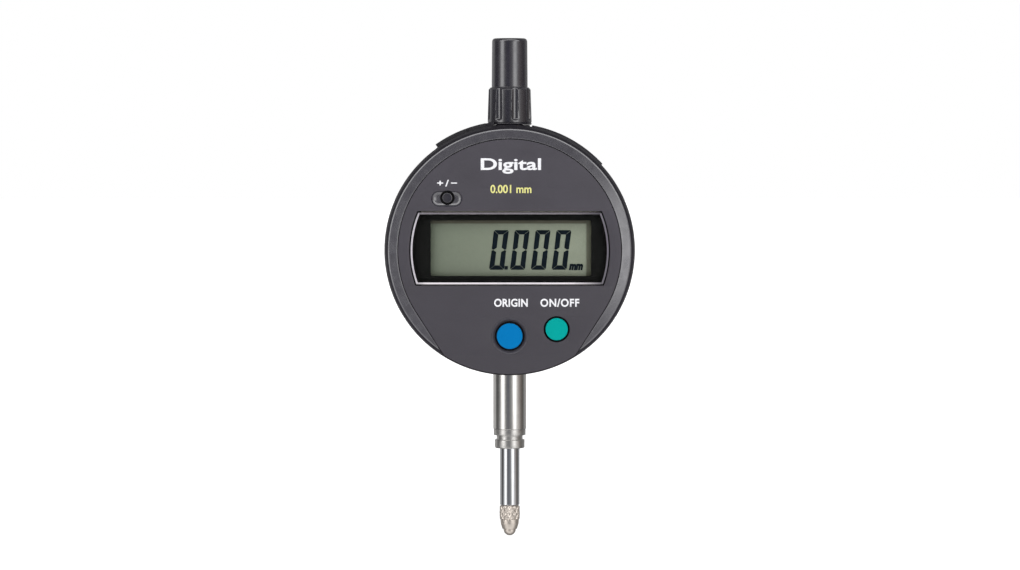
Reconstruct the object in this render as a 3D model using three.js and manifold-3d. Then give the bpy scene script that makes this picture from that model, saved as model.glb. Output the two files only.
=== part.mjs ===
// A digital dial indicator: a round body 60 mm across, an 8 mm stem, and a 12.7 mm stroke.
// Millimetres. +Z points up along the spindle and the display faces -Y. Every piece is drawn from
// the centre of the round body, on the spindle's axis. The last group then moves them all, so that
// the part's origin is the bottom centre of its box: level with the contact tip, and half-way from
// the display face to the lug's end.
import * as THREE from "three";
import { mergeVertices } from "three/addons/utils/BufferGeometryUtils.js";
import Module from "manifold-3d";

const wasm = await Module();
wasm.setup();

// ---- driving dimensions ----

const degrees = (angle) => (angle * Math.PI) / 180;

const STROKE = 12.7;
const RUNNING_GAP = 0.05; // on the radius, between pieces that slide in one another
const FIT_GAP = 0.05; // on the radius, between pieces that are pressed or screwed together
const LOOSE_GAP = 0.3; // between a piece that lifts out and its neighbours

const COVER = {
  radius: 30,
  edgeY: -11.2,
  creaseRadius: 28.95,
  creaseY: -12.45,
  shoulder: [[29.5, -12.2], [29.85, -11.8]], // [radius, y] of the points between crease and edge
  plateauRadius: 26.64,
  rimY: -12.7,
  plateauY: -13,
  innerFaceY: -11,
  boreRadius: 27.4,
  backY: -5.5,
  tangentAngle: degrees(32.5), // where the plateau's round edge runs out into a straight one
};
const HOUSING = {
  radius: 29.6,
  boreRadius: 26.9,
  floorY: 5,
  backY: 7,
  chamfer: 1,
};
const BACK_PLATE = { radius: 28, backY: 9, chamfer: 0.6 };
const STEM_BOSS = { halfWidth: 6.5, edge: 27.5 };
const TOP_BOSS = { halfWidth: 5.2, edge: 27.5 };
const HOUSING_NECK = { radius: 4.75, bottom: 27 };
const LUG = {
  halfWidth: 2.5,
  halfHeight: 8,
  flankY: 9.6, // where the straight foot turns into the flank
  flankEnd: degrees(100),
  holeY: 16.6,
  holeRadius: 3.25,
  endRadius: 5.6,
};

const WINDOW = { top: 9.5, bottom: -8.3, sideRadius: 24, lensGap: 0.12, flange: 0.8 };
const LENS = { frontY: -12.8, flangeFrontY: -10.95, backY: -10.4 };
const LCD = { left: -20.2, right: 20.8, bottom: -7.9, top: 9.1, frontY: -10.2, backY: -8.4 };
const LCD_HOLDER = { wall: 1, clearance: 0.1, openingBottom: -4.4, openingTop: 5.6 };
const ZEBRA = {
  left: -18.8,
  right: 19.4,
  frontY: -8.35,
  backY: -7.55,
  height: 1.7,
  lowerZ: -6.4,
  upperZ: 7.6,
};
const MAIN_BOARD = { radius: 26.6, frontY: -7.5, backY: -6.5, screwHoleRadius: 0.8 };
const DETECTOR = {
  halfWidth: 14.5,
  bottom: -8,
  top: 7,
  frontY: -5.6,
  backY: -4.7,
  screwHoleRadius: 0.8,
};
const BOARD_CONNECTOR = { left: -13, right: -3, bottom: 3.5, top: 6 };

const BUTTONS = {
  origin: { x: 0, z: -20.4, radius: 3.13, holeRadius: 3.5, flangeRadius: 4.1, frontY: -12.9 },
  power: { x: 11.25, z: -18.74, radius: 2.66, holeRadius: 3.06, flangeRadius: 3.5, frontY: -12.9 },
  sign: { x: -14.9, z: 12.7, radius: 1.25, holeRadius: 1.74, flangeRadius: 2.1, frontY: -12.7 },
};
const SWITCHES = {
  origin: { halfWidth: 2.6, plungerRadius: 1.25, travel: 0.6 },
  power: { halfWidth: 2.6, plungerRadius: 1.25, travel: 0.6 },
  sign: { halfWidth: 1.8, plungerRadius: 0.8, travel: 0.5 },
};
const BUTTON_FLANGE = { clearance: 0.1, thickness: 0.7 };
const BUTTON_FOOT_Y = -9.65;
const PLUNGER_FRONT_Y = -9.6;
const SWITCH_FRONT_Y = -9;
const SWITCH_FLOOR_Y = -7.9;
const ORIGIN_DISH = { radius: 4.34, depth: 0.8 };
const SIGN_RECESS = { x: -15.03, z: 12.48, length: 7.45, height: 3.7, depth: 0.8 };

const SPINDLE = { radius: 2.4, bottom: -62.1, top: 35, socketTop: -56 };
const STEM = {
  radius: 4,
  boreRadius: 3,
  bottom: -43.64,
  shoulderZ: -24.6,
  topZ: -23.4,
  flangeRadius: 4.9,
};
const LOWER_BUSH = {
  bottom: -48.25,
  collarRadius: 3.625,
  collarTop: -46.17,
  neckRadius: 3.15,
  neckTop: -45.1,
  ringRadius: 3.875,
  spigotTop: -36,
};
const UPPER_STEM_BUSH_BOTTOM = -32;
const TOP_BUSH = {
  radius: 4,
  spigotRadius: 3.4,
  flangeRadius: 4.7,
  shoulderZ: 24.4,
  neckZ: 30,
  topZ: 36,
};
const CAP = {
  bottomZ: 30.12,
  waistZ: 39.2,
  topZ: 51,
  ceilingZ: 49.6,
  skirtRadius: 5.35,
  waistRadius: 4.3,
  crownRadius: 4.225,
  flutes: 8,
  firstFlute: degrees(15),
  fluteRadius: 1.33,
  fluteCentre: 6.13,
};
const CONTACT = {
  seatZ: -62.3,
  coneZ: -65.6,
  noseZ: -68,
  radius: 2.45,
  noseRadius: 1.76,
  studRadius: 1.15,
  studTop: -57,
};
const BALL = { radius: 1.5, centreZ: -68.1 };
const BUMPER = { boreRadius: 2.6, radius: 4.6, bottom: -23.35, top: -22.35 };
const STOP_RING = { radius: 4.4, bottom: -22.3, top: -20.3 };
const CARRIER = { halfWidth: 4, bottom: -14, top: -1, frontY: -3.5, backY: 3.6, screwZ: -4.5 };
const SCALE_BACKING = { halfWidth: 3.4, thickness: 0.8, margin: 0.5 };
const SCALE = { halfWidth: 3, bottom: -17.5, top: 7.5, thickness: 0.78 };
const GUIDE = { pinRadius: 1, pinLeft: 2.7, pinRight: 9.2, pinZ: -8 };
const RAIL = {
  left: 6.2,
  right: 8.8,
  frontY: -1.9,
  bottom: GUIDE.pinZ - 3,
  top: GUIDE.pinZ + STROKE + 3.2,
  pegRadius: 0.8,
};
const RAIL_PEGS = [RAIL.bottom + 1, RAIL.top - 1].map((z) => [(RAIL.left + RAIL.right) / 2, z]);
const PEG_END_Y = 6;
const SPRING = {
  x: -7,
  y: 1.5,
  fixedZ: -20.5,
  movingZ: -3,
  coilRadius: 1.6,
  hookRadius: 1.1,
  wireRadius: 0.22,
  turns: 10,
};
const SPRING_PIN_RADIUS = 0.7;

const BATTERY_BAY = { angle: degrees(28.75), halfSpan: degrees(18.15), proudRadius: 30.5 };
const CONNECTOR_BAY = { angle: degrees(-22.7), halfSpan: degrees(11.9), proudRadius: 31.05 };
const DOOR = { innerRadius: 28.2, frontY: -5.2, backY: 4.7 };
const BATTERY = { radius: 5.8, height: 5.4, z: 20.6, frontY: -1.2 };
const TRAY = { wall: 0.8, frontY: -1, endHalfWidth: 5, cornerZ: 28, endZ: 28.5 };
const POSITIVE_LEAF = { left: -1.2, right: 0.2, z: 13.4, backY: 2.6 };
const NEGATIVE_LEAF = { left: 1.2, right: 3, z: 12.4, top: 21, frontY: -1.95 };
const LEAF_THICKNESS = 0.25;
const DATA_SHELL = { halfWidth: 4.5, frontY: -4, backY: 3.6, bottom: 21.5, top: 27.6 };
const DATA_SOCKET = { halfWidth: 3.8, frontY: -2.2, backY: 1.8, bottom: 23 };
const DATA_TONGUE = { halfWidth: 3.2, frontY: -0.6, backY: 0.2, top: 27 };
const FLEX = { halfWidth: 2.5, thickness: 0.25, top: 21.2, bendZ: 18.4, footBottom: 16.4 };

// Screws: where the head ends, where it seats and where the shank ends.
const CASE_SCREW = { x: 21.2, z: 13.25, bossRadius: 2, columnRadius: 2.3, holeRadius: 1.1 };
const CASE_SCREW_BODY = { headRadius: 1.9, headY: 6.7, seatY: 5.6, shankRadius: 1, tipY: -9.3 };
const CASE_SCREW_SINK = { radius: 2.1, floorY: 5.5 };
const BACK_SCREW = { x: 17.3, z: 17.3 };
const BACK_SCREW_BODY = { headRadius: 1.9, headY: 8.95, seatY: 8.1, shankRadius: 0.9, tipY: 5.3 };
const BOARD_SCREW_BODY = { headRadius: 1.5, headY: -5.7, seatY: -6.5, shankRadius: 0.65, tipY: -10 };
const DETECTOR_SCREW_BODY = { headRadius: 1.5, headY: 6.4, seatY: 5.6, shankRadius: 0.65, tipY: 1.2 };
const CARRIER_SCREW_BODY = { headRadius: 1.6, headY: 4.5, seatY: 3.6, shankRadius: 0.8, tipY: 2.5 };
const BOARD_POST_RADIUS = 1.6;
const DETECTOR_POST_RADIUS = 1.7;
const BOARD_POSTS = [[0, 21.5], [-10.5, -19.5], [17.4, -18]];
const DETECTOR_POSTS = [[-12.5, -3], [12.5, -3]];
const FOUR_CORNERS = [[1, 1], [-1, 1], [-1, -1], [1, -1]];

// Sides of the polygons that stand for circles.
const SIDES = { case: 64, large: 32, fitted: 24, small: 16, screw: 12 };

// ---- materials ----

const finish = (color, roughness, metalness) =>
  new THREE.MeshStandardMaterial({ color, roughness, metalness });

const MATERIALS = {
  charcoalPlastic: finish("#54515a", 0.6, 0),
  blackPlastic: finish("#26252a", 0.45, 0),
  blackRubber: finish("#1c1b1f", 0.8, 0),
  blueRubber: finish("#0a7fd2", 0.45, 0),
  greenRubber: finish("#14b09c", 0.45, 0),
  clearLens: finish("#181a1a", 0.08, 0),
  displayGlass: finish("#8c917f", 0.25, 0),
  ivoryPlastic: finish("#d8d4c6", 0.55, 0),
  greenBoard: finish("#1d5a37", 0.5, 0),
  steel: finish("#c6c7c9", 0.28, 1),
  warmSteel: finish("#b9ad9c", 0.35, 1),
  carbide: finish("#8d8a86", 0.2, 1),
  brass: finish("#c2a253", 0.35, 1),
  aluminium: finish("#b7babd", 0.45, 1),
};

// ---- solids ----

function toManifold(geometry) {
  const bare = new THREE.BufferGeometry().setAttribute("position", geometry.getAttribute("position"));
  bare.setIndex(geometry.index);
  const merged = mergeVertices(bare, 1e-4);
  const mesh = new wasm.Mesh({
    numProp: 3,
    vertProperties: merged.getAttribute("position").array,
    triVerts: new Uint32Array(merged.index.array),
  });
  return new wasm.Manifold(mesh);
}

function fromManifold(manifold) {
  const mesh = manifold.getMesh();
  const geometry = new THREE.BufferGeometry();
  geometry.setAttribute("position", new THREE.BufferAttribute(mesh.vertProperties, 3));
  geometry.setIndex(new THREE.BufferAttribute(mesh.triVerts, 1));
  geometry.computeVertexNormals();
  return geometry;
}

function join(first, ...others) {
  const joined = others.reduce((solid, other) => solid.add(toManifold(other)), toManifold(first));
  return fromManifold(joined);
}

function cut(base, ...tools) {
  const left = tools.reduce((solid, tool) => solid.subtract(toManifold(tool)), toManifold(base));
  return fromManifold(left);
}

// A box between two opposite corners.
function block([x0, y0, z0], [x1, y1, z1]) {
  const box = new THREE.BoxGeometry(x1 - x0, y1 - y0, z1 - z0);
  return box.translate((x0 + x1) / 2, (y0 + y1) / 2, (z0 + z1) / 2);
}

// A solid turned about Y. The profile lists [radius, y], and either starts and ends on the axis
// or is a ring.
function turnedY(profile, segments = SIDES.fitted) {
  const twiceArea = profile.reduce((sum, [radius, height], i) => {
    const [nextRadius, nextHeight] = profile[(i + 1) % profile.length];
    return sum + radius * nextHeight - nextRadius * height;
  }, 0);
  const upward = twiceArea > 0 ? profile : [...profile].reverse();
  const onAxis = upward[0][0] === 0 && upward.at(-1)[0] === 0;
  const outline = onAxis ? upward : [...upward, upward[0]];
  return new THREE.LatheGeometry(outline.map(([r, h]) => new THREE.Vector2(r, h)), segments);
}

// The same about Z, with the profile as [radius, z].
const turnedZ = (profile, segments) => turnedY(profile, segments).rotateX(Math.PI / 2);

function rodY(radius, y0, y1, [x, z] = [0, 0], segments = SIDES.small) {
  const rod = new THREE.CylinderGeometry(radius, radius, y1 - y0, segments);
  return rod.translate(x, (y0 + y1) / 2, z);
}

function rodX(radius, x0, x1, [y, z], segments = SIDES.small) {
  const rod = new THREE.CylinderGeometry(radius, radius, x1 - x0, segments);
  return rod.rotateZ(Math.PI / 2).translate((x0 + x1) / 2, y, z);
}

function rodZ(radius, z0, z1, segments = SIDES.fitted) {
  const rod = new THREE.CylinderGeometry(radius, radius, z1 - z0, segments);
  return rod.rotateX(Math.PI / 2).translate(0, 0, (z0 + z1) / 2);
}

// A plate between two depths, with its outline drawn in the (x, z) plane.
function plate(outline, y0, y1, curveSegments = 8) {
  const settings = { depth: y1 - y0, bevelEnabled: false, curveSegments };
  return new THREE.ExtrudeGeometry(outline, settings).rotateX(Math.PI / 2).translate(0, y1, 0);
}

function piece(name, material, geometry) {
  const mesh = new THREE.Mesh(geometry, material);
  mesh.name = name;
  return mesh;
}

// A cross-recessed screw driven from behind: its head faces +Y and its tip points to -Y.
function screw({ headRadius, headY, seatY, shankRadius, tipY, countersunk = false }) {
  const underHead = countersunk ? [] : [[headRadius, seatY]];
  const profile = [
    [0, tipY],
    [shankRadius, tipY],
    [shankRadius, seatY],
    ...underHead,
    [headRadius, headY],
    [0, headY],
  ];
  const armLength = headRadius * 0.62;
  const armWidth = headRadius * 0.14;
  const recessY = headY - (headY - seatY) * 0.6;
  const across = block([-armLength, recessY, -armWidth], [armLength, headY + 1, armWidth]);
  const upright = block([-armWidth, recessY, -armLength], [armWidth, headY + 1, armLength]);
  return cut(turnedY(profile, SIDES.screw), across, upright);
}

// The hole that a screw's shank is driven into, a little longer and wider than the shank.
function pilot({ shankRadius, tipY }, at) {
  return rodY(shankRadius + FIT_GAP, tipY - 0.2, COVER.backY + 0.5, at, SIDES.screw);
}

// The four places of a screw that sits once in each quarter.
const corners = ({ x, z }) => FOUR_CORNERS.map(([sx, sz]) => [sx * x, sz * z]);

// ---- outlines ----

// Round over the top and the sides, then straight lines that run out to the cover's edge below.
function plateauOutline() {
  const { plateauRadius, creaseRadius, tangentAngle } = COVER;
  const runOut = tangentAngle + Math.acos(plateauRadius / creaseRadius);
  const outline = new THREE.Shape();
  outline.absarc(0, 0, plateauRadius, -tangentAngle, Math.PI + tangentAngle, false);
  outline.absarc(0, 0, creaseRadius, Math.PI + runOut, 2 * Math.PI - runOut, false);
  return outline;
}

// Flat above and below, with sides that follow the round body.
function windowOutline(inset) {
  const radius = WINDOW.sideRadius - inset;
  const topAngle = Math.asin((WINDOW.top - inset) / radius);
  const bottomAngle = Math.asin((WINDOW.bottom + inset) / radius);
  const outline = new THREE.Shape();
  outline.absarc(0, 0, radius, bottomAngle, topAngle, false);
  outline.absarc(0, 0, radius, Math.PI - topAngle, Math.PI - bottomAngle, false);
  return outline;
}

function stadiumOutline({ x, z, length, height }) {
  const radius = height / 2;
  const reach = length / 2 - radius;
  const outline = new THREE.Shape();
  outline.absarc(x + reach, z, radius, -Math.PI / 2, Math.PI / 2, false);
  outline.absarc(x - reach, z, radius, Math.PI / 2, (3 * Math.PI) / 2, false);
  return outline;
}

// Part of a ring about the body's centre, symmetric about +Z.
function sectorOutline(innerRadius, outerRadius, halfSpan) {
  const start = Math.PI / 2 - halfSpan;
  const end = Math.PI / 2 + halfSpan;
  const outline = new THREE.Shape();
  outline.absarc(0, 0, outerRadius, start, end, false);
  outline.absarc(0, 0, innerRadius, end, start, true);
  return outline;
}

// ---- front of the case ----

function frontCover() {
  const { radius, edgeY, shoulder, creaseRadius, creaseY, rimY, plateauY } = COVER;
  const { innerFaceY, boreRadius, backY } = COVER;
  const shell = turnedY([
    [0, rimY],
    [COVER.plateauRadius, rimY],
    [creaseRadius, creaseY],
    ...shoulder,
    [radius, edgeY],
    [radius, backY],
    [boreRadius, backY],
    [boreRadius, innerFaceY],
    [0, innerFaceY],
  ], SIDES.case);
  const plateau = plate(plateauOutline(), plateauY, rimY + 0.4, 24);
  const bosses = corners(CASE_SCREW).map((at) =>
    rodY(CASE_SCREW.bossRadius, innerFaceY - 0.5, backY, at));
  const posts = BOARD_POSTS.map((at) =>
    rodY(BOARD_POST_RADIUS, innerFaceY - 0.5, MAIN_BOARD.frontY, at));

  const outside = plateauY - 0.5;
  const inside = innerFaceY + 0.5;
  const buttonHoles = Object.values(BUTTONS).map(({ x, z, holeRadius }) =>
    rodY(holeRadius, outside, inside, [x, z], SIDES.fitted));
  const dish = turnedY([
    [0, plateauY - 0.1],
    [ORIGIN_DISH.radius + 0.1, plateauY - 0.1],
    [BUTTONS.origin.holeRadius, plateauY + ORIGIN_DISH.depth],
    [0, plateauY + ORIGIN_DISH.depth],
  ]).translate(BUTTONS.origin.x, 0, BUTTONS.origin.z);
  const signRecess = plate(stadiumOutline(SIGN_RECESS), outside, plateauY + SIGN_RECESS.depth);
  const casePilots = corners(CASE_SCREW).map((at) => pilot(CASE_SCREW_BODY, at));
  const boardPilots = BOARD_POSTS.map((at) => pilot(BOARD_SCREW_BODY, at));

  return cut(
    join(shell, plateau, ...bosses, ...posts),
    plate(windowOutline(0), outside, inside),
    ...buttonHoles,
    dish,
    signRecess,
    ...casePilots,
    ...boardPilots,
  );
}

function displayLens() {
  const plug = plate(windowOutline(WINDOW.lensGap), LENS.frontY, LENS.backY);
  const flange = plate(windowOutline(-WINDOW.flange), LENS.flangeFrontY, LENS.backY);
  return join(plug, flange);
}

// A button cap with a flange that keeps it in the case and a short foot that meets the switch.
function buttonCap({ x, z, radius, flangeRadius, frontY }, { plungerRadius }) {
  const flangeFrontY = COVER.innerFaceY + BUTTON_FLANGE.clearance;
  const flangeBackY = flangeFrontY + BUTTON_FLANGE.thickness;
  const rounding = radius * 0.08;
  return turnedY([
    [0, frontY],
    [radius - rounding, frontY],
    [radius, frontY + rounding],
    [radius, flangeFrontY],
    [flangeRadius, flangeFrontY],
    [flangeRadius, flangeBackY],
    [plungerRadius, flangeBackY],
    [plungerRadius, BUTTON_FOOT_Y],
    [0, BUTTON_FOOT_Y],
  ]).translate(x, 0, z);
}

function switchPlunger({ x, z }, { plungerRadius, travel }) {
  return rodY(plungerRadius, PLUNGER_FRONT_Y, SWITCH_FLOOR_Y - travel - RUNNING_GAP, [x, z]);
}

function switchBody({ x, z }, { halfWidth, plungerRadius }) {
  const body = block(
    [x - halfWidth, SWITCH_FRONT_Y, z - halfWidth],
    [x + halfWidth, MAIN_BOARD.frontY, z + halfWidth],
  );
  return cut(body, rodY(plungerRadius + RUNNING_GAP, SWITCH_FRONT_Y - 1, SWITCH_FLOOR_Y, [x, z]));
}

// ---- display and boards ----

const lcdPanel = () => block([LCD.left, LCD.frontY, LCD.bottom], [LCD.right, LCD.backY, LCD.top]);

// A frame round the panel, open behind it for the board and for the two zebra strips.
function lcdHolder() {
  const { wall, clearance, openingBottom, openingTop } = LCD_HOLDER;
  const frontY = LCD.frontY - clearance;
  const backY = MAIN_BOARD.frontY - clearance;
  const around = (margin, y0, y1) => block(
    [LCD.left - margin, y0, LCD.bottom - margin],
    [LCD.right + margin, y1, LCD.top + margin],
  );
  const through = (bottom, top) => block(
    [ZEBRA.left - 2 * clearance, frontY, bottom],
    [ZEBRA.right + 2 * clearance, backY + 1, top],
  );
  const frame = around(wall, frontY, backY);
  const pocket = around(clearance, frontY - 1, LCD.backY + clearance);
  const slotReach = ZEBRA.height / 2 + 1.5 * clearance;
  const slots = [ZEBRA.lowerZ, ZEBRA.upperZ].map((z) => through(z - slotReach, z + slotReach));
  return cut(frame, pocket, through(openingBottom, openingTop), ...slots);
}

function zebraStrip(z) {
  const { left, right, frontY, backY, height } = ZEBRA;
  return block([left, frontY, z - height / 2], [right, backY, z + height / 2]);
}

function mainBoard() {
  const { radius, frontY, backY, screwHoleRadius } = MAIN_BOARD;
  const bossHoles = corners(CASE_SCREW).map((at) =>
    rodY(CASE_SCREW.bossRadius + LOOSE_GAP, frontY - 1, backY + 1, at));
  const screwHoles = BOARD_POSTS.map((at) =>
    rodY(screwHoleRadius, frontY - 1, backY + 1, at, SIDES.screw));
  return cut(rodY(radius, frontY, backY, [0, 0], SIDES.case), ...bossHoles, ...screwHoles);
}

function detectorBoard() {
  const { halfWidth, bottom, top, frontY, backY, screwHoleRadius } = DETECTOR;
  const board = block([-halfWidth, frontY, bottom], [halfWidth, backY, top]);
  const holes = DETECTOR_POSTS.map((at) =>
    rodY(screwHoleRadius, frontY - 1, backY + 1, at, SIDES.screw));
  return cut(board, ...holes);
}

// The plug and socket between the two boards.
function boardConnector() {
  const { left, right, bottom, top } = BOARD_CONNECTOR;
  return block([left, MAIN_BOARD.backY, bottom], [right, DETECTOR.frontY, top]);
}

const boardScrew = () => screw(BOARD_SCREW_BODY);

// Driven from the front, so it is made head backwards and turned round.
const detectorScrew = () => screw(DETECTOR_SCREW_BODY).rotateZ(Math.PI);

// ---- rear of the case ----

function bayOpening({ angle, halfSpan }) {
  const spare = degrees(0.6);
  const opening = sectorOutline(HOUSING.boreRadius - 1, HOUSING.radius + 3, halfSpan + spare);
  return plate(opening, COVER.backY - 1, DOOR.backY + LOOSE_GAP).rotateY(angle);
}

function rearHousing() {
  const { radius, boreRadius, floorY, backY, chamfer } = HOUSING;
  const frontY = COVER.backY;
  const shell = turnedY([
    [0, floorY],
    [boreRadius, floorY],
    [boreRadius, frontY],
    [radius, frontY],
    [radius, backY - chamfer],
    [radius - chamfer, backY],
    [0, backY],
  ], SIDES.case);
  const intoFloor = floorY + 0.5;
  const columns = corners(CASE_SCREW).map((at) =>
    rodY(CASE_SCREW.columnRadius, frontY, intoFloor, at));
  const detectorColumns = DETECTOR_POSTS.map((at) =>
    rodY(DETECTOR_POST_RADIUS, DETECTOR.backY, intoFloor, at));
  const stemBoss = block(
    [-STEM_BOSS.halfWidth, frontY + 0.1, -STEM_BOSS.edge],
    [STEM_BOSS.halfWidth, intoFloor, STEM.shoulderZ - FIT_GAP],
  );
  const topBoss = block(
    [-TOP_BOSS.halfWidth, frontY + 0.1, TOP_BUSH.shoulderZ + FIT_GAP],
    [TOP_BOSS.halfWidth, intoFloor, TOP_BOSS.edge],
  );
  const neck = rodZ(HOUSING_NECK.radius, HOUSING_NECK.bottom, TOP_BUSH.neckZ);
  return cut(
    join(shell, ...columns, ...detectorColumns, stemBoss, topBoss, neck),
    rodZ(STEM.radius + FIT_GAP, -radius - 2, STEM.shoulderZ + 4, SIDES.large),
    rodZ(TOP_BUSH.radius + FIT_GAP, TOP_BUSH.shoulderZ - 4, radius + 2),
    bayOpening(BATTERY_BAY),
    bayOpening(CONNECTOR_BAY),
    ...housingScrewHoles(),
    ...housingPegHoles(),
  );
}

function housingScrewHoles() {
  const behind = HOUSING.backY + 1;
  const sink = CASE_SCREW_SINK;
  return [
    ...corners(CASE_SCREW).map((at) =>
      rodY(CASE_SCREW.holeRadius, COVER.backY - 1, behind, at, SIDES.screw)),
    ...corners(CASE_SCREW).map((at) => rodY(sink.radius, sink.floorY, behind, at)),
    ...corners(BACK_SCREW).map((at) => {
      const radius = BACK_SCREW_BODY.shankRadius + FIT_GAP;
      return rodY(radius, HOUSING.floorY - 0.1, behind, at, SIDES.screw);
    }),
    ...DETECTOR_POSTS.map((at) => {
      const radius = DETECTOR_SCREW_BODY.shankRadius + FIT_GAP;
      const tipY = -DETECTOR_SCREW_BODY.tipY;
      return rodY(radius, DETECTOR.backY - 1, tipY + 0.7, at, SIDES.screw);
    }),
  ];
}

// Blind holes in the floor for the rail's two pegs and for the spring's fixed pin.
function housingPegHoles() {
  const hole = (radius, at) =>
    rodY(radius + FIT_GAP, HOUSING.floorY - 1, PEG_END_Y + 0.2, at, SIDES.screw);
  return [
    hole(SPRING_PIN_RADIUS, [SPRING.x, SPRING.fixedZ]),
    ...RAIL_PEGS.map((at) => hole(RAIL.pegRadius, at)),
  ];
}

// Drawn with y across and z up: straight flanks from the plate into a round end about the hole.
function lugOutline() {
  const { halfHeight, flankY, flankEnd, holeY, endRadius } = LUG;
  const insidePlateY = BACK_PLATE.backY - 0.5;
  const outline = new THREE.Shape();
  outline.moveTo(insidePlateY, -halfHeight);
  outline.lineTo(flankY, -halfHeight);
  outline.absarc(holeY, 0, endRadius, -flankEnd, flankEnd, false);
  outline.lineTo(flankY, halfHeight);
  outline.lineTo(insidePlateY, halfHeight);
  return outline;
}

function backScrewHole([x, z]) {
  const { headRadius, seatY, shankRadius } = BACK_SCREW_BODY;
  const clearance = 0.1;
  return turnedY([
    [0, HOUSING.backY - 1],
    [shankRadius + clearance, HOUSING.backY - 1],
    [shankRadius + clearance, seatY - FIT_GAP],
    [headRadius + clearance, BACK_PLATE.backY + FIT_GAP],
    [0, BACK_PLATE.backY + FIT_GAP],
  ], SIDES.screw).translate(x, 0, z);
}

function backPlate() {
  const { radius, backY, chamfer } = BACK_PLATE;
  const disc = turnedY([
    [0, HOUSING.backY],
    [radius, HOUSING.backY],
    [radius, backY - chamfer],
    [radius - chamfer, backY],
    [0, backY],
  ], SIDES.case);
  const settings = { depth: 2 * LUG.halfWidth, bevelEnabled: false, curveSegments: SIDES.small };
  const lug = new THREE.ExtrudeGeometry(lugOutline(), settings)
    .translate(0, 0, -LUG.halfWidth)
    .applyMatrix4(new THREE.Matrix4().makeBasis(
      new THREE.Vector3(0, 1, 0),
      new THREE.Vector3(0, 0, 1),
      new THREE.Vector3(1, 0, 0),
    ));
  const screwHoles = corners(BACK_SCREW).map(backScrewHole);
  const throughLug = LUG.halfWidth + 1;
  const lugHole = rodX(LUG.holeRadius, -throughLug, throughLug, [LUG.holeY, 0], SIDES.fitted);
  return cut(join(disc, lug), ...screwHoles, lugHole);
}

const caseScrew = () => screw(CASE_SCREW_BODY);
const backScrew = () => screw({ ...BACK_SCREW_BODY, countersunk: true });

// ---- stem, bushes and cap ----

function stem() {
  const { radius, boreRadius, bottom, shoulderZ, topZ, flangeRadius } = STEM;
  return turnedZ([
    [boreRadius, bottom],
    [radius - 0.2, bottom],
    [radius, bottom + 0.2],
    [radius, shoulderZ],
    [flangeRadius, shoulderZ],
    [flangeRadius, topZ],
    [boreRadius, topZ],
  ], SIDES.large);
}

const BUSH_BORE = SPINDLE.radius + RUNNING_GAP;

// A bush pressed into the stem's end: a ring against the stem, a narrow neck and a collar.
function lowerBush() {
  const { bottom, collarRadius, collarTop, neckRadius, neckTop, ringRadius, spigotTop } = LOWER_BUSH;
  const spigotRadius = STEM.boreRadius - FIT_GAP;
  const shoulderZ = STEM.bottom - 0.02;
  const chamfer = 0.35;
  return turnedZ([
    [BUSH_BORE, bottom],
    [collarRadius - chamfer, bottom],
    [collarRadius, bottom + chamfer],
    [collarRadius, collarTop],
    [neckRadius, collarTop],
    [neckRadius, neckTop],
    [ringRadius, neckTop],
    [ringRadius, shoulderZ],
    [spigotRadius, shoulderZ],
    [spigotRadius, spigotTop],
    [BUSH_BORE, spigotTop],
  ]);
}

function plainRing(innerRadius, outerRadius, bottom, top) {
  return turnedZ([
    [innerRadius, bottom],
    [outerRadius, bottom],
    [outerRadius, top],
    [innerRadius, top],
  ]);
}

const upperStemBush = () =>
  plainRing(BUSH_BORE, STEM.boreRadius - FIT_GAP, UPPER_STEM_BUSH_BOTTOM, STEM.topZ);

function topBush() {
  const { radius, spigotRadius, flangeRadius, shoulderZ, neckZ, topZ } = TOP_BUSH;
  return turnedZ([
    [BUSH_BORE, shoulderZ - 1],
    [flangeRadius, shoulderZ - 1],
    [flangeRadius, shoulderZ],
    [radius, shoulderZ],
    [radius, neckZ],
    [spigotRadius, neckZ],
    [spigotRadius, topZ],
    [BUSH_BORE, topZ],
  ]);
}

// The cap that covers the spindle's upper end: a fluted sleeve for the fingers under a plain cylinder.
function spindleCap() {
  const { bottomZ, waistZ, topZ, ceilingZ, skirtRadius, waistRadius, crownRadius } = CAP;
  const threadRadius = TOP_BUSH.spigotRadius + 0.1;
  const wellRadius = SPINDLE.radius + 0.35;
  const cap = turnedZ([
    [threadRadius, bottomZ],
    [skirtRadius, bottomZ],
    [skirtRadius - 0.3, waistZ - 0.8],
    [skirtRadius - 0.7, waistZ - 0.1],
    [waistRadius, waistZ],
    [waistRadius + 0.15, waistZ + 0.15],
    [crownRadius, topZ - 0.6],
    [crownRadius - 0.175, topZ - 0.2],
    [crownRadius - 0.625, topZ],
    [0, topZ],
    [0, ceilingZ],
    [wellRadius, ceilingZ],
    [wellRadius, TOP_BUSH.topZ + 0.3],
    [threadRadius, TOP_BUSH.topZ + 0.3],
  ], SIDES.large);
  return cut(cap, ...capFlutes());
}

function capFlutes() {
  const { bottomZ, waistZ, flutes, firstFlute, fluteRadius, fluteCentre } = CAP;
  return Array.from({ length: flutes }, (_, i) => {
    const angle = firstFlute - Math.PI / 2 + (i * 2 * Math.PI) / flutes;
    const groove = rodZ(fluteRadius, bottomZ + 1.4, waistZ + 0.1, SIDES.screw);
    return groove.translate(fluteCentre * Math.cos(angle), fluteCentre * Math.sin(angle), 0);
  });
}

// ---- spindle and what rides on it ----

function spindle() {
  const { radius, bottom, top, socketTop } = SPINDLE;
  const boreRadius = CONTACT.studRadius + FIT_GAP;
  return turnedZ([
    [0, socketTop],
    [boreRadius, socketTop],
    [boreRadius, bottom],
    [radius - 0.15, bottom],
    [radius, bottom + 0.15],
    [radius, top - 0.4],
    [radius - 0.4, top],
    [0, top],
  ]);
}

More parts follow.
